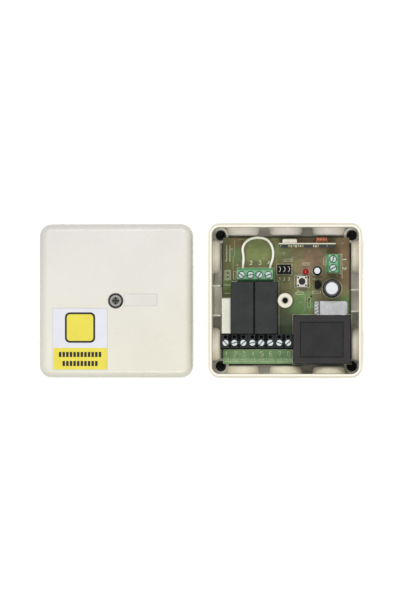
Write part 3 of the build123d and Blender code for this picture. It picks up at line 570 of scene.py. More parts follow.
# Darker steel in the screw slots is painted shade
SLOT_SHADE_STEEL = metal("clamp_slot_painted_shade", 0.45, rgb(80, 83, 87), rgb(112, 115, 119))
TIN = metal("contact_tin", 0.34, rgb(146, 142, 124), rgb(176, 172, 152))
TRACE_MASK = coated("trace_mask", rgb(112, 126, 70), rgb(134, 146, 88), 120, 2200, 0.006 * MM,
                    Roughness=0.45, **MASK_GLOSS)
INK = coated("printing_ink", rgb(196, 208, 164), rgb(236, 240, 212), 1400, 3000, 0.008 * MM,
             spread=(0.35, 0.6), Roughness=0.6)
LENS = coated("led_lens", rgb(150, 14, 14), rgb(196, 34, 30), 500, 900, 0.004 * MM, detail=3.0,
              spread=(0.3, 0.7), Roughness=0.25, Coat_Weight=0.3, Coat_Roughness=0.08,
              **scattering(0.3, 2.0, 0.3, 0.3))
PLATE_STEEL = metal("plate_steel", 0.34, rgb(164, 159, 151), rgb(190, 185, 177), stretch=(1.0, 12.0, 1.0))
# Paler rim tones on the relays' and film capacitor's sides and top edges are a painted highlight
RELAY_EDGE_HIGHLIGHT = (rgb(46, 49, 50), rgb(56, 59, 60))
RELAY_TOP = (rgb(36, 40, 38), rgb(45, 49, 47))
FILM_EDGE_HIGHLIGHT = (rgb(236, 236, 226), rgb(244, 244, 236))
FILM_TOP = (rgb(216, 215, 200), rgb(226, 225, 211))

NODE_MATERIALS = {
    "base_box": box_plastic(),
    "lid": lid_plastic(),
    "cable_entry_membranes": MEMBRANE,
    "fixing_hole_grommets": GROMMET,
    "cover_screw": cover_screw_steel(),
    "circuit_board": board_laminate(),
    "control_terminal": GREEN_PLASTIC,
    "bus_terminal": GREEN_PLASTIC,
    "terminal_contacts": TIN,
    "link_wire": WIRE_PLASTIC,
    "suppression_capacitor": plastic_with_painted_edge_highlight("film_capacitor_plastic", "suppression_capacitor", 0.35, 0.6 * MM,
                                            FILM_EDGE_HIGHLIGHT, FILM_TOP),
    "transformer": transformer_plastic(),
    "switch_body": plastic("switch_plastic", 0.5, rgb(10, 10, 10), rgb(22, 22, 22), shine=0.2),
    "switch_plate": PLATE_STEEL,
    "push_button": plastic("button_plastic", 0.4, rgb(14, 14, 15), rgb(34, 34, 36), shine=0.2),
    "status_led": LENS,
    "small_capacitor": can_material("small_can", "small_capacitor", 1.7 * MM),
    "large_capacitor": can_material("large_can", "large_capacitor", 3.4 * MM),
    "voltage_regulator": BLACK_PLASTIC,
    "jumper_header": BLACK_PLASTIC,
    "microcontroller": BLACK_PLASTIC,
    "receiver_module": receiver_laminate(),
    "receiver_filter": CERAMIC,
    "receiver_coil": COPPER,
}
for number in (1, 2):
    relay = f"relay_{number}"
    NODE_MATERIALS[relay] = plastic_with_painted_edge_highlight(f"relay_plastic_{number}", relay, 0.46, 0.7 * MM, RELAY_EDGE_HIGHLIGHT,
                                           RELAY_TOP, grain=0.03 * MM)
for number in (1, 2, 3):
    NODE_MATERIALS[f"power_terminal_{number}"] = POWER_PLASTIC
    NODE_MATERIALS[f"jumper_{number}"] = BLACK_PLASTIC


def dress_nodes():
    """Gives every CAD node its procedural material: the screws and cages are of clamp steel."""
    for name, node in frame["nodes"].items():
        for slot in node.material_slots:
            slot.link = "OBJECT"
            slot.material = NODE_MATERIALS.get(name, CLAMP_STEEL)


# Objects and meshes


def add_object(name, data):
    made = bpy.data.objects.new(name, data)
    bpy.context.scene.collection.objects.link(made)
    return made


def mesh_from(name, shape, *materials, sharp_degrees=35.0):
    """Turns a bmesh into a mesh that is smooth but for its sharp edges, and frees it."""
    mesh = bpy.data.meshes.new(name)
    shape.to_mesh(mesh)
    shape.free()
    for material in materials:
        mesh.materials.append(material)
    mesh.shade_smooth()
    mesh.set_sharp_from_angle(angle=math.radians(sharp_degrees))
    return mesh


def add_piece(name, shape, material, body="box", sharp_degrees=35.0):
    """Makes a piece from a bmesh, with its faces turned outwards, and lets it ride on a body."""
    bmesh.ops.recalc_face_normals(shape, faces=shape.faces)
    piece = add_object(name, mesh_from(name, shape, material, sharp_degrees=sharp_degrees))
    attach(piece, body)
    return piece


def lathe(shape, profile, matrix, segments):
    """Adds a turned form to a bmesh: the profile is (radius, height) pairs about the matrix's Z axis."""
    rings = []
    for radius, height in profile:
        count = segments if radius > 0 else 1
        ring = []
        for step in range(count):
            angle = 2 * math.pi * step / count
            place = Vector((radius * math.cos(angle), radius * math.sin(angle), height))
            ring.append(shape.verts.new(matrix @ place))
        rings.append(ring)
    for first, second in zip(rings, rings[1:]):
        for step in range(segments):
            following = (step + 1) % segments
            corners = [first[step % len(first)], first[following % len(first)],
                       second[following % len(second)], second[step % len(second)]]
            unique = list(dict.fromkeys(corners))
            if len(unique) > 2:
                shape.faces.new(unique)


def block(shape, low, high, edge):
    """Adds a box between two corners to a bmesh, with rounded edges."""
    made = bmesh.ops.create_cube(shape, size=1.0)["verts"]
    for vertex in made:
        vertex.co = [vertex.co[i] * (high[i] - low[i]) + (low[i] + high[i]) / 2 for i in range(3)]
    edges = list({link for vertex in made for link in vertex.link_edges})
    bmesh.ops.bevel(shape, geom=edges, offset=edge, segments=2, affect="EDGES", profile=0.5)


def strip(shape, points, width, height):
    """Adds a flat strip along a line of points to a bmesh, with mitred corners, at one height."""
    flat = [Vector((x, y)) for x, y in points]
    left, right = [], []
    for index, point in enumerate(flat):
        before = flat[index - 1] if index else point - (flat[1] - point)
        after = flat[index + 1] if index + 1 < len(flat) else point + (point - before)
        first = (point - before).normalized()
        second = (after - point).normalized()
        bisector = (first + second).normalized()
        normal = Vector((-bisector.y, bisector.x))
        reach = width / 2 / max(0.35, normal.dot(Vector((-first.y, first.x))))
        left.append(shape.verts.new((*(point + normal * reach), height)))
        right.append(shape.verts.new((*(point - normal * reach), height)))
    for index in range(len(flat) - 1):
        shape.faces.new((left[index], right[index], right[index + 1], left[index + 1]))


def rectangle(low_x, low_y, high_x, high_y):
    return [(low_x, low_y), (high_x, low_y), (high_x, high_y), (low_x, high_y)]


def arc_points(center, radius, start, end, steps):
    """Points along an arc, from one angle in degrees to another."""
    angles = [math.radians(start + (end - start) * step / steps) for step in range(steps + 1)]
    return [(center[0] + radius * math.cos(angle), center[1] + radius * math.sin(angle)) for angle in angles]


def ring_points(center, radius, count):
    return arc_points(center, radius, 0, 360, count)[:-1]


def patch(shape, points, height):
    """Adds one flat polygon to a bmesh and returns it."""
    return shape.faces.new([shape.verts.new((x, y, height)) for x, y in points])


def smooth_tube(name, points, radius, material, sides=6):
    """A round tube along a smooth curve of the given control points."""
    curve = bpy.data.curves.new(name, "CURVE")
    curve.dimensions = "3D"
    curve.bevel_depth = radius
    curve.bevel_resolution = sides
    curve.resolution_u = 10
    curve.use_fill_caps = True
    spline = curve.splines.new("NURBS")
    spline.points.add(len(points) - 1)
    for point, place in zip(spline.points, points):
        point.co = (*place, 1.0)
    spline.order_u = 3
    spline.use_endpoint_u = True
    curve.materials.append(material)
    return add_object(name, curve)


# Link wire: the same route as its solid, as one smooth line

LINK_DIAMETER = 1.4 * MM
LINK_ROUTE = in_metres([
    (-24.3, 12.4, 13.87), (-24.3, 18.3, 13.87), (-23.6, 24.3, 14.9), (-24.7, 30.0, 15.9),
    (-21.4, 34.3, 16.5), (-15.8, 35.6, 16.9), (-10.2, 34.5, 16.6), (-7.3, 30.0, 16.0),
    (-7.0, 24.3, 14.9), (-9.3, 18.3, 13.87), (-9.3, 12.4, 13.87),
])


def add_link_wire():
    wire = smooth_tube("link_wire_insulation", LINK_ROUTE, LINK_DIAMETER / 2, WIRE_PLASTIC)
    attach(wire, "box")
    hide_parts("link_wire")


# Soft closed cable entries: moulded plugs with an outer lip and shallow rings to cut along

ENTRY_HEIGHT = 17.0 * MM
ENTRY_SPACING = 24.0 * MM
ENTRY_SIDE_OFFSET = 24.5 * MM
ENTRY_PROFILE = in_metres([
    (0.0, 0.18), (2.4, 0.16), (2.6, 0.4), (3.0, 0.4), (3.2, 0.15), (4.9, 0.13), (5.1, 0.38), (5.5, 0.38),
    (5.7, 0.12), (7.2, 0.1), (7.4, 0.36), (7.8, 0.36), (8.1, -0.12), (9.4, -0.22), (9.75, -0.12), (9.8, 0.0),
    (9.2, 0.0), (9.2, 2.2), (9.4, 2.25), (9.45, 2.6), (9.38, 3.3), (9.1, 3.4), (9.08, 3.75), (9.26, 3.85),
    (9.18, 4.6), (8.85, 4.7), (8.8, 5.05), (8.92, 5.15), (8.5, 5.8), (7.9, 6.25), (7.3, 6.4), (6.6, 6.4),
    (6.4, 6.3), (6.1, 6.3), (5.9, 6.4), (0.0, 6.4),
])


def entry_matrices():
    """Frames at the cable entries on the box's outer faces, with +Z pointing inwards."""
    half = BOX_HIGH.x
    places = []
    for x in (-ENTRY_SPACING, 0.0, ENTRY_SPACING):
        places += [(x, -half, 0, 1), (x, half, 0, -1)]
    for y in (-ENTRY_SIDE_OFFSET, ENTRY_SIDE_OFFSET):
        places += [(-half, y, 1, 0), (half, y, -1, 0)]
    matrices = []
    for x, y, across, along in places:
        turn = Vector((across, along, 0)).to_track_quat("Z", "Y").to_matrix().to_4x4()
        matrices.append(Matrix.Translation((x, y, ENTRY_HEIGHT)) @ turn)
    return matrices


def add_membranes():
    shape = bmesh.new()
    for matrix in entry_matrices():
        lathe(shape, ENTRY_PROFILE, matrix, segments=72)
    piece = add_piece("entry_membranes_moulded", shape, MEMBRANE, sharp_degrees=50.0)
    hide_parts("cable_entry_membranes")


# Rubber grommets in the fixing holes

FIXING_OFFSET = 36.808 * MM
GROMMET_PROFILE = in_metres([
    (0.0, 5.0), (1.78, 5.0), (1.78, 4.35), (2.2, 4.3), (2.4, 4.5), (2.4, 8.3), (2.75, 8.3), (2.9, 8.5),
    (2.9, 9.2), (2.7, 9.46), (2.2, 9.49), (1.95, 9.35), (1.78, 9.0), (1.78, 5.4), (0.0, 5.3),
])


def add_grommets():
    shape = bmesh.new()
    for x in (-FIXING_OFFSET, FIXING_OFFSET):
        for y in (-FIXING_OFFSET, FIXING_OFFSET):
            lathe(shape, GROMMET_PROFILE, Matrix.Translation((x, y, 0)), segments=40)
    piece = add_piece("fixing_grommets_moulded", shape, GROMMET)
    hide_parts("fixing_hole_grommets")


# Clamp screws: slotted heads with a turned shank

HEAD_RADIUS = 1.8 * MM
HEAD_HEIGHT = 1.6 * MM
HEAD_EDGE = 0.16 * MM
SHANK_RADIUS = 1.2 * MM
TIP_RADIUS = 0.8 * SHANK_RADIUS
THREAD_ROOT = 0.84 * SHANK_RADIUS
THREAD_PITCH = 0.5 * MM
SLOT_WIDTH = 0.55 * MM
SLOT_DEPTH = 0.7 * MM
SLOT_TURNS = (40, 15, -48, 28, 52, 8, 42, -20, -35, 5, 60, 20, 75, 30)


def screw_profile(length):
    """Outline of a clamp screw from its tip up to the rim of its head, with thread grooves."""
    profile = [(0.0, -length), (TIP_RADIUS, -length)]
    for step in range(int(length / THREAD_PITCH)):
        crest = -length + (step + 0.25) * THREAD_PITCH
        profile += [(SHANK_RADIUS, crest), (THREAD_ROOT, crest + 0.5 * THREAD_PITCH)]
    profile += [
        (THREAD_ROOT, 0.0),
        (HEAD_RADIUS * 0.97, 0.0),
        (HEAD_RADIUS, HEAD_HEIGHT * 0.06),
        (HEAD_RADIUS, HEAD_HEIGHT - HEAD_EDGE),
        (HEAD_RADIUS - 0.3 * HEAD_EDGE, HEAD_HEIGHT - 0.3 * HEAD_EDGE),
        (HEAD_RADIUS - HEAD_EDGE, HEAD_HEIGHT),
    ]
    return profile


def slotted_head(shape):
    """Fills the top of a screw head with two lands and the slot between them."""
    rim = HEAD_RADIUS - HEAD_EDGE
    floor = HEAD_HEIGHT - SLOT_DEPTH
    half = SLOT_WIDTH / 2
    reach = math.sqrt(rim * rim - half * half)
    start = math.degrees(math.asin(half / rim))
    arc = arc_points((0, 0), rim, start, 180 - start, 16)
    for side in (1, -1):
        patch(shape, [(x, side * y) for x, y in arc], HEAD_HEIGHT)
        wall = [(reach, side * half, HEAD_HEIGHT), (-reach, side * half, HEAD_HEIGHT),
                (-reach, side * half, floor), (reach, side * half, floor)]
        # The slot's walls and floor take the second material, painted shade
        shape.faces.new([shape.verts.new(corner) for corner in wall]).material_index = 1
    patch(shape, rectangle(-reach, -half, reach, half), floor).material_index = 1


def add_clamp_screws():
    low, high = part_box("terminal_screw_01")
    head_bottom = high.z - HEAD_HEIGHT
    shape = bmesh.new()
    lathe(shape, screw_profile(head_bottom - low.z), Matrix.Identity(4), segments=48)
    slotted_head(shape)
    mesh = mesh_from("clamp_screw", shape, CLAMP_STEEL, SLOT_SHADE_STEEL)
    for number, (pole, turn) in enumerate(zip(POLES, SLOT_TURNS), start=1):
        piece = add_object(f"clamp_screw_{number:02d}", mesh)
        piece.location = (pole.x, pole.y, head_bottom)
        piece.rotation_euler = (0, 0, math.radians(turn))
        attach(piece, f"terminal_screw_{number:02d}")
        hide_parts(f"terminal_screw_{number:02d}")
        # Control and bus screws take the steel with the painted green reflection and shade
        if number > POWER_POLE_COUNT:
            piece.material_slots[0].link = "OBJECT"
            piece.material_slots[0].material = GREEN_REFLECTING_CLAMP_STEEL


# Receiver coil: one smooth copper winding

COIL_START_X = 17.3 * MM
COIL_RADIUS = 1.15 * MM
COIL_WIRE = 0.7 * MM
COIL_PITCH = 0.85 * MM
COIL_TURNS = 7
COIL_LOW = 18.1 * MM
COIL_STEPS = 16


def coil_points():
    """Points round the winding, between straight ends square to the board behind it."""
    end_y = RECEIVER_BACK + COIL_WIRE
    end_x = COIL_START_X + COIL_PITCH * COIL_TURNS
    points = [(COIL_START_X, RECEIVER_BACK, COIL_LOW), (COIL_START_X, end_y, COIL_LOW)]
    for step in range(COIL_TURNS * COIL_STEPS + 1):
        angle = 2 * math.pi * step / COIL_STEPS
        points.append((
            COIL_START_X + COIL_PITCH * step / COIL_STEPS,
            end_y + COIL_RADIUS + COIL_RADIUS * math.sin(angle),
            COIL_LOW + COIL_RADIUS - COIL_RADIUS * math.cos(angle),
        ))
    points += [(end_x, end_y, COIL_LOW), (end_x, RECEIVER_BACK, COIL_LOW)]
    return points


def add_coil():
    coil = smooth_tube("receiver_coil_winding", coil_points(), COIL_WIRE / 2, COPPER, sides=4)
    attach(coil, "box")
    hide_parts("receiver_coil")


# Small parts along the top front of the receiver board, as (x, width, depth, low, high) in millimetres

SMALL_PARTS = (
    (1.9, 0.8, 0.9, 21.6, 23.4), (3.2, 0.8, 1.3, 20.4, 23.6), (4.5, 0.7, 0.8, 21.8, 23.2),
    (5.8, 1.0, 1.4, 20.0, 23.7), (7.1, 0.7, 0.9, 21.4, 23.4), (8.3, 0.8, 1.2, 20.6, 23.5),
    (9.4, 0.6, 0.8, 21.6, 23.2), (15.7, 0.8, 1.1, 21.0, 23.5), (16.9, 0.8, 1.4, 20.2, 23.6),
    (18.1, 0.7, 0.9, 21.6, 23.3), (23.1, 0.4, 1.0, 21.0, 23.5),
)
END_SHARE = 0.22
END_PROUD = 0.02 * MM
BODY_EDGE = 0.04 * MM
END_EDGE = 0.06 * MM


def add_receiver_parts():
    """Pale bodies between two tinned ends each."""
    bodies = bmesh.new()
    ends = bmesh.new()
    for x, width, depth, low, high in SMALL_PARTS:
        left, right = (x - width / 2) * MM, (x + width / 2) * MM
        low, high = low * MM, high * MM
        face = RECEIVER_FRONT - depth * MM
        end = END_SHARE * (high - low)
        block(bodies, (left, face, low + end), (right, RECEIVER_FRONT, high - end), BODY_EDGE)
        block(ends, (left, face - END_PROUD, low), (right, RECEIVER_FRONT, low + end), END_EDGE)
        block(ends, (left, face - END_PROUD, high - end), (right, RECEIVER_FRONT, high), END_EDGE)
    add_piece("receiver_small_parts", bodies, CERAMIC)
    add_piece("receiver_part_ends", ends, TIN)


# Jumpers: a flat pale crescent on each roof, a painted glint off the curved edge of the spring clip

CLIP_RADIUS = 1.75 * MM
CLIP_REACH = 62
CLIP_OUTSIDE = -0.95 * MM
CLIP_INSIDE = -1.3 * MM
CLIP_LIFT = 0.02 * MM


def add_jumper_clips():
    for number in range(1, 4):
        center, high = center_and_top(f"jumper_{number}")
        outside, inside = (center.x + CLIP_OUTSIDE, center.y), (center.x + CLIP_INSIDE, center.y)
        points = arc_points(outside, CLIP_RADIUS, -CLIP_REACH, CLIP_REACH, 20)
        points += arc_points(inside, CLIP_RADIUS, CLIP_REACH, -CLIP_REACH, 20)
        shape = bmesh.new()
        patch(shape, points, high.z + CLIP_LIFT)
        add_piece(f"jumper_clip_glint_{number}", shape, CLIP_GLINT, body=f"jumper_{number}")


# Traces and vias on the board: traces are a width and a line of points, in millimetres

TRACE_HEIGHT = BOARD_TOP + 0.02 * MM
TRACES = (
    (0.6, [(-29.8, 16.8), (-29.8, 24.5), (-29.0, 25.3), (-29.0, 34.2)]),
    (0.6, [(-26.9, 34.4), (-4.8, 34.4), (-2.6, 32.2)]),
    (0.6, [(-5.4, 20.6), (-5.4, 30.4), (-3.2, 32.6)]),
    (0.5, [(-4.4, 15.2), (-6.4, 13.2), (-6.4, 11.2)]),
    (0.7, [(5.2, 14.0), (5.2, 21.2), (9.2, 25.2), (9.2, 28.6)]),
    (0.7, [(13.4, 9.6), (15.0, 8.0), (15.0, 3.2), (12.2, 0.4), (12.2, -7.0)]),
    (0.7, [(13.2, 16.4), (14.8, 16.4)]),
    (1.0, [(20.4, 16.6), (22.2, 18.4), (22.2, 28.8)]),
    (0.9, [(28.4, 13.0), (28.4, 15.0)]),
    (0.5, [(2.8, 19.0), (5.0, 21.2)]),
    (0.5, [(3.6, 5.2), (7.2, 8.8), (5.6, 8.8)]),
    (0.5, [(0.6, 4.8), (2.6, 6.8), (2.6, 14.2)]),
    (0.5, [(-2.2, 4.8), (-2.2, 13.9)]),
    (1.0, [(10.4, -2.0), (14.2, 1.8), (14.2, 3.6)]),
)
VIAS = in_metres([
    (-1.3, 26.7), (6.6, 6.0), (3.4, 24.2), (13.0, 27.6), (-30.4, 29.0), (24.0, 30.2), (31.6, 32.4),
    (-12.6, 24.0), (-20.2, 31.0), (33.8, -1.4), (-34.2, 22.6), (-27.6, 20.2), (8.0, -1.2),
    *[(10.6, 2.9 - 1.7 * step) for step in range(6)],
])
VIA_PROFILE = in_metres([(0.24, 0.0), (0.26, 0.045), (0.46, 0.045), (0.5, 0.0)])
VIA_HOLE_RADIUS = 0.25 * MM
VIA_HOLE_HEIGHT = BOARD_TOP + 0.04 * MM


def add_traces():
    shape = bmesh.new()
    for width, points in TRACES:
        strip(shape, in_metres(points), width * MM, TRACE_HEIGHT)
    add_piece("board_traces", shape, TRACE_MASK)
    rings = bmesh.new()
    holes = bmesh.new()
    for center in VIAS:
        lathe(rings, VIA_PROFILE, Matrix.Translation((*center, BOARD_TOP)), segments=24)
        # Painted shade: a black disc lies over each via's hole
        patch(holes, ring_points(center, VIA_HOLE_RADIUS, 20), VIA_HOLE_HEIGHT)
    add_piece("via_rings", rings, TIN)
    add_piece("via_hole_painted_shade", holes, BLACK_PLASTIC)


# Printed outlines and numerals on the board: margins, rectangles and lines in millimetres

PRINT_HEIGHT = BOARD_TOP + 0.035 * MM
PRINT_WIDTH = 0.2 * MM
PRINT_STROKE = 0.38 * MM
OUTLINED_BOXES = {"relay_1": 0.3, "relay_2": 0.45, "transformer": 0.5, "suppression_capacitor": 0.35,
                  "jumper_header": 0.5, "bus_terminal": 0.5, "control_terminal": 0.45, "switch_body": 0.5}
OUTLINED_ROUNDS = {"large_capacitor": 0.6, "small_capacitor": 0.5, "status_led": 0.4}
EMPTY_PLACES = (
    (-34.4, 11.8, -31.4, 17.2), (-33.8, 12.4, -32.0, 14.2), (-33.8, 14.8, -32.0, 16.6),
    (-29.6, 12.2, -28.2, 16.6), (12.1, -4.0, 13.8, 1.8), (9.4, 20.0, 13.2, 21.2), (5.6, 3.6, 9.8, 4.9),
    (21.2, 20.2, 22.6, 24.6), (-1.6, 22.2, 3.4, 23.4), (14.6, 4.2, 19.4, 5.4),
)
BRACKET_ENDS = ((-35.2, -22.0), (-20.6, -16.9), (-15.3, -6.9), (-5.2, 3.0))
BRACKET_LOW, BRACKET_HIGH = -34.3, -33.2
PRINTED_LINES = (
    [(-34.9, 8.9), (-31.2, 8.9)], [(-34.9, 4.2), (-31.2, 4.2)],
    [(-33.4, 22.0), (-33.4, 31.5)], [(-31.6, 22.0), (-31.6, 31.5)],
    [(31.4, 12.4), (31.4, 26.6)], [(6.4, 14.9), (11.8, 14.9)], [(15.0, 12.2), (20.2, 12.2)],
)

# Numerals: their sizes, and the line that each row stands on or each column hangs along
POWER_NUMERAL = 2.7 * MM
POWER_NUMERAL_Y = -29.9 * MM
POWER_TICKS_Y = (-33.3 * MM, -32.2 * MM)
POWER_TICK_HALF = 1.1 * MM
POLE_NUMERAL = 2.1 * MM
CONTROL_NUMERAL_Y = 21.4 * MM
BUS_NUMERAL_X = 32.6 * MM
JUMPER_NUMERAL = 1.6 * MM
JUMPER_NUMERAL_Y = 12.3 * MM

# Plain numerals as strokes on a grid six wide and ten high
DIGIT_STROKES = {
    1: [[(1, 8), (3.4, 10), (3.4, 0)]],
    2: [[(0.2, 7.8), (1.2, 9.4), (3, 10), (4.9, 9.3), (5.7, 7.6), (5, 5.4), (0.3, 0), (6, 0)]],
    3: [[(0.3, 8.8), (1.5, 9.7), (3.2, 10), (5, 9.2), (5.5, 7.6), (4.8, 6), (2.8, 5.3)],
        [(2.8, 5.3), (5, 4.6), (5.9, 2.8), (5.1, 0.8), (3, 0), (1.2, 0.3), (0, 1.4)]],
    4: [[(4.5, 0), (4.5, 10)], [(4.3, 9.8), (0, 3.2), (6, 3.2)]],
    5: [[(5.5, 10), (1, 10), (0.6, 5.6)],
        [(0.6, 5.6), (3, 6.2), (5.2, 5.2), (6, 3), (5, 0.8), (2.8, 0), (0, 1.2)]],
    6: [[(5, 9.3), (3.2, 10), (1.2, 8.7), (0.2, 6), (0.2, 2.8), (1.2, 0.7), (3, 0), (5, 0.8),
         (5.8, 3), (5, 5), (3, 5.8), (0.6, 4.6)]],
    7: [[(0, 10), (5.8, 10)], [(5.6, 9.9), (2.2, 0)]],
    8: [[(3, 5.4), (5, 6.3), (5.6, 7.8), (4.8, 9.4), (3, 10), (1.2, 9.4), (0.4, 7.8), (1, 6.3), (3, 5.4)],
        [(3, 5.4), (5.2, 4.4), (6, 2.6), (5, 0.7), (3, 0), (1, 0.7), (0, 2.6), (0.8, 4.4), (3, 5.4)]],
}


def print_outline(shape, points):
    """Adds a closed printed outline to a bmesh as straight strips."""
    for first, second in zip(points, points[1:] + points[:1]):
        overlap = (Vector(second) - Vector(first)).normalized() * (PRINT_WIDTH / 2)
        strip(shape, [Vector(first) - overlap, Vector(second) + overlap], PRINT_WIDTH, PRINT_HEIGHT)


def print_numeral(shape, number, center, size, turn=0.0):
    """Adds a plain printed numeral of a given height to a bmesh, centred on a place."""
    unit = size / 10
    turned = Matrix.Rotation(math.radians(turn), 2)
    for stroke in DIGIT_STROKES[number]:
        points = [Vector(center) + turned @ Vector(((x - 3) * unit, (y - 5) * unit)) for x, y in stroke]
        strip(shape, points, PRINT_STROKE, PRINT_HEIGHT)


def add_printing():
    """Outlines of the parts, plain pole numerals and small boxes for parts that aren't fitted."""
    shape = bmesh.new()
    for node, margin in OUTLINED_BOXES.items():
        low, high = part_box(node)
        gap = margin * MM
        print_outline(shape, rectangle(low.x - gap, low.y - gap, high.x + gap, high.y + gap))
    for node, margin in OUTLINED_ROUNDS.items():
        center, high = center_and_top(node)
        print_outline(shape, ring_points(center, high.x - center.x + margin * MM, 40))
    for number, pole in enumerate(POWER_POLES, start=1):
        print_numeral(shape, number, (pole.x, POWER_NUMERAL_Y), POWER_NUMERAL)
        low_y, high_y = POWER_TICKS_Y
        print_outline(shape, rectangle(pole.x - POWER_TICK_HALF, low_y, pole.x + POWER_TICK_HALF, high_y))
    for number, pole in enumerate(CONTROL_POLES, start=1):
        print_numeral(shape, number, (pole.x, CONTROL_NUMERAL_Y), POLE_NUMERAL)
    for number, pole in enumerate(BUS_POLES, start=1):
        print_numeral(shape, number, (BUS_NUMERAL_X, pole.y), POLE_NUMERAL, turn=-90)
    for number in (1, 2, 3):
        center = center_and_top(f"jumper_{number}")[0]
        print_numeral(shape, number, (center.x, JUMPER_NUMERAL_Y), JUMPER_NUMERAL)
    for corners in EMPTY_PLACES:
        print_outline(shape, in_metres(rectangle(*corners)))
    brackets = [[(left, BRACKET_HIGH), (left, BRACKET_LOW), (right, BRACKET_LOW), (right, BRACKET_HIGH)]
                for left, right in BRACKET_ENDS]
    for points in (*brackets, *PRINTED_LINES):
        strip(shape, in_metres(points), PRINT_WIDTH, PRINT_HEIGHT)
    add_piece("board_printing", shape, INK)


# Foil label on the board, torn near its left end

FOIL_LOW = (19.0 * MM, -8.0 * MM)
FOIL_HIGH = (34.4 * MM, -0.3 * MM)
FOIL_CORNER = 1.2 * MM
FOIL_LEVEL = BOARD_TOP + 0.12 * MM
CURL_START = 32.0 * MM
CURL_RISE = 0.35 * MM
WAVE_RISE = 0.04 * MM
WAVE_LENGTHS = (1.3 * MM, 1.1 * MM)
CRUMPLE_LOW = (15.9 * MM, -8.0 * MM)
CRUMPLE_HIGH = (18.25 * MM, -0.4 * MM)
CRUMPLE_LEVEL = BOARD_TOP + 0.15 * MM
FOLD_RISE = 0.55 * MM
FOLD_LENGTH = 0.62 * MM
FOLD_WANDER = 0.5 * MM


def label_foil():
    surface = Surface("label_foil")
    crease = surface.noise(240, detail=4.0)
    surface.color(surface.mix(surface.remap(crease, 0.35, 0.65), rgb(210, 211, 215), rgb(238, 239, 242)))
    surface.relief(crease, 0.08 * MM)
    surface.set(Roughness=0.35, Metallic=0.2)
    return surface.material


def height_grid(shape, low, high, columns, rows, height, place=None):
    """Adds a grid of faces between two corners, with its heights from a function of the place."""
    grid = []
    for column in range(columns + 1):
        x = low[0] + (high[0] - low[0]) * column / columns
        line = []
        for row in range(rows + 1):
            y = low[1] + (high[1] - low[1]) * row / rows
            moved = place(x, y) if place else (x, y)
            line.append(shape.verts.new((*moved, height(*moved))))
        grid.append(line)
    for first, second in zip(grid, grid[1:]):
        for row in range(rows):
            shape.faces.new((first[row], second[row], second[row + 1], first[row + 1]))


def foil_place(x, y):
    """Draws the foil's two right corners in to a round."""
    center_x = FOIL_HIGH[0] - FOIL_CORNER
    for center_y, sign in ((FOIL_HIGH[1] - FOIL_CORNER, 1), (FOIL_LOW[1] + FOIL_CORNER, -1)):
        across, along = x - center_x, (y - center_y) * sign
        if across > 0 and along > 0:
            scale = max(across, along) / math.hypot(across, along)
            return center_x + across * scale, center_y + along * scale * sign
    return x, y


def foil_height(x, y):
    """The flat part of the foil lies on the board and lifts a little at its right end."""
    lift = max(0.0, (x - CURL_START) / (FOIL_HIGH[0] - CURL_START)) ** 2 * CURL_RISE
    wave = WAVE_RISE * math.sin(x / WAVE_LENGTHS[0]) * math.sin(y / WAVE_LENGTHS[1])
    return FOIL_LEVEL + lift + wave


def crumple_height(x, y):
    """The torn end of the foil, buckled into sharp folds."""
    fold = abs(math.sin(y / FOLD_LENGTH + 0.8 * math.sin(x / FOLD_WANDER)))
    slope = (CRUMPLE_HIGH[0] - x) / (CRUMPLE_HIGH[0] - CRUMPLE_LOW[0])
    return CRUMPLE_LEVEL + FOLD_RISE * fold * (0.4 + slope)


def add_foil_label():
    shape = bmesh.new()
    height_grid(shape, FOIL_LOW, FOIL_HIGH, 40, 24, foil_height, foil_place)
    height_grid(shape, CRUMPLE_LOW, CRUMPLE_HIGH, 16, 40, crumple_height)
    add_piece("foil_label", shape, label_foil())


# Cover labels: flat patches over each other, in millimetres about the cover's centre


def paper(name, dark, light, coat=0.3):
    """Printed paper or film with a slight gloss."""
    return coated(name, dark, light, 60, 700, 0.006 * MM, detail=3.0, Roughness=0.4, Specular_IOR_Level=0.3,
                  Coat_Weight=coat, Coat_Roughness=0.12)


DASH_PITCH = 2.05
DASH_WIDTH = 1.45
DASH_HEIGHT = 2.9
EDGE_LEVEL, SHEET_LEVEL, UNDER_LEVEL, TOP_LEVEL = 0.03, 0.05, 0.07, 0.09


def dash_row(center_x, center_y, count):
    """A row of plain upright dashes, centred on a place of the label."""
    left = center_x - count * DASH_PITCH / 2
    low_y, high_y = center_y - DASH_HEIGHT / 2, center_y + DASH_HEIGHT / 2
    dashes = []
    for index in range(count):
        x = left + index * DASH_PITCH
        dashes.append(((x, low_y), (x + DASH_WIDTH, high_y), 0.2, TOP_LEVEL))
    return dashes


def rounded_patch(shape, low, high, corner, level):
    """Adds a flat rounded rectangle to a bmesh, at its level over the cover."""
    points = []
    for sign_x, sign_y, start in ((1, 1, 0), (-1, 1, 90), (-1, -1, 180), (1, -1, 270)):
        center_x = (high[0] if sign_x > 0 else low[0]) - sign_x * corner
        center_y = (high[1] if sign_y > 0 else low[1]) - sign_y * corner
        points += arc_points((center_x, center_y), corner, start, start + 90, 6)
    placed = [(LID_CENTER.x + x * MM, LID_CENTER.y + y * MM) for x, y in points]
    patch(shape, placed, LID_HIGH.z + level * MM)


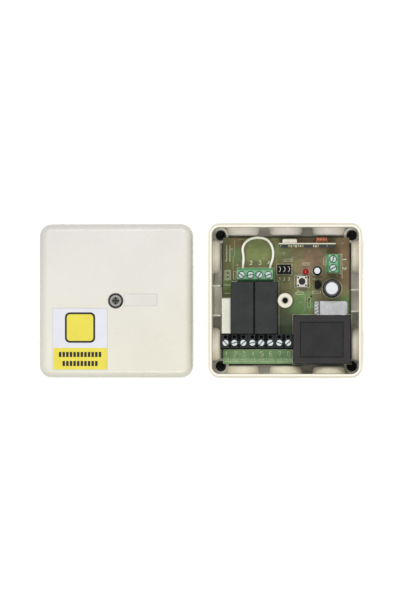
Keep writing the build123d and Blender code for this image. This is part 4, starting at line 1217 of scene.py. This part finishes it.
# Each piece of the labels: name, material, and patches as low corner, high corner, radius and level
COVER_LABELS = (
    ("cover_label_edge", paper("label_edge", rgb(186, 185, 178), rgb(194, 193, 186)), [
        ((-35.9, -39.1), (-4.5, -4.0), 0.5, EDGE_LEVEL),
        ((4.7, -2.9), (23.6, 4.0), 0.5, EDGE_LEVEL),
    ]),
    ("cover_label_white", paper("label_white", rgb(219, 219, 227), rgb(225, 225, 233)), [
        ((-35.7, -38.9), (-4.8, -4.3), 0.4, SHEET_LEVEL),
    ]),
    ("cover_label_clear", paper("label_clear", rgb(217, 214, 206), rgb(223, 221, 214)), [
        ((4.9, -2.7), (23.3, 3.7), 0.4, SHEET_LEVEL),
    ]),
    ("cover_label_yellow", paper("label_yellow", rgb(224, 209, 56), rgb(232, 219, 68)), [
        ((-35.2, -38.8), (-4.8, -26.6), 0.3, UNDER_LEVEL),
        ((-27.6, -22.6), (-12.6, -7.6), 1.9, TOP_LEVEL),
    ]),
    ("cover_label_marks", paper("label_black", rgb(14, 14, 13), rgb(26, 25, 23), coat=0.0), [
        ((-28.7, -23.7), (-11.5, -6.5), 2.8, UNDER_LEVEL),
        *dash_row(-19.8, -30.3, 12),
        *dash_row(-19.8, -35.4, 10),
    ]),
)


def add_cover_labels():
    for name, material, patches in COVER_LABELS:
        shape = bmesh.new()
        for low, high, corner, level in patches:
            rounded_patch(shape, low, high, corner, level)
        add_piece(name, shape, material, body="lid")


# Surroundings: floor, lights and camera

CAMERA_PLACE = Vector((35.0 * MM, -10.0 * MM, 1.533))
VIEW_CENTER = Vector((-47.0 * MM, 0.0, BOX_HIGH.z - 2.5 * MM))
VIEW_HEIGHT = 333.6 * MM
SENSOR = 36.0
FLOOR_HALF = 3.0
FLOOR_DROP = 0.2 * MM
FLOOR_GLOW = 0.26
SKY_STRENGTH = 0.37
LIGHT_TARGET = Vector((-45.0 * MM, 0.0, 0.0))

# Lamps: name, place, width, depth and power
LAMPS = (
    ("ceiling", (-0.05, 0.1, 2.2), 1.5, 1.5, 11.6),
    ("key", (-0.1, 0.85, 1.5), 1.2, 0.2, 8.6),
    ("fill", (0.1, -0.8, 1.5), 0.7, 0.2, 8.4),
)


def add_floor():
    shape = bmesh.new()
    patch(shape, rectangle(-FLOOR_HALF, -FLOOR_HALF, FLOOR_HALF, FLOOR_HALF), -FLOOR_DROP)
    surface = Surface("floor_white")
    surface.color(surface.mix(surface.noise(3), rgb(252, 252, 252), rgb(255, 255, 255)))
    surface.set(Roughness=0.9, Emission_Color=rgb(255, 255, 255), Emission_Strength=FLOOR_GLOW)
    add_object("floor", mesh_from("floor", shape, surface.material))


def add_lights():
    world = bpy.data.worlds.new("studio")
    world.use_nodes = True
    background = world.node_tree.nodes["Background"]
    background.inputs["Color"].default_value = rgb(255, 255, 255)
    background.inputs["Strength"].default_value = SKY_STRENGTH
    bpy.context.scene.world = world
    for name, place, width, depth, power in LAMPS:
        light = bpy.data.lights.new(name, "AREA")
        light.shape = "RECTANGLE"
        light.size = width
        light.size_y = depth
        light.energy = power
        lamp = add_object(name, light)
        lamp.location = place
        lamp.rotation_euler = (LIGHT_TARGET - Vector(place)).to_track_quat("-Z", "Y").to_euler()


def add_camera():
    camera = bpy.data.cameras.new("camera")
    camera.sensor_width = SENSOR
    sight = VIEW_CENTER - CAMERA_PLACE
    camera.lens = SENSOR * sight.length / VIEW_HEIGHT
    camera.clip_start = 0.05
    camera.clip_end = 20.0
    forward = sight.normalized()
    right = forward.cross(Vector((0, 1, 0))).normalized()
    turned = Matrix((right, right.cross(forward), -forward)).transposed()
    holder = add_object("camera", camera)
    holder.matrix_world = Matrix.Translation(CAMERA_PLACE) @ turned.to_4x4()
    bpy.context.scene.camera = holder


add_camera()
add_link_wire()
dress_nodes()
add_membranes()
add_grommets()
add_clamp_screws()
add_coil()
add_receiver_parts()
add_jumper_clips()
add_traces()
add_printing()
add_foil_label()
add_cover_labels()
add_floor()
add_lights()
bpy.context.scene.view_settings.view_transform = "Standard"
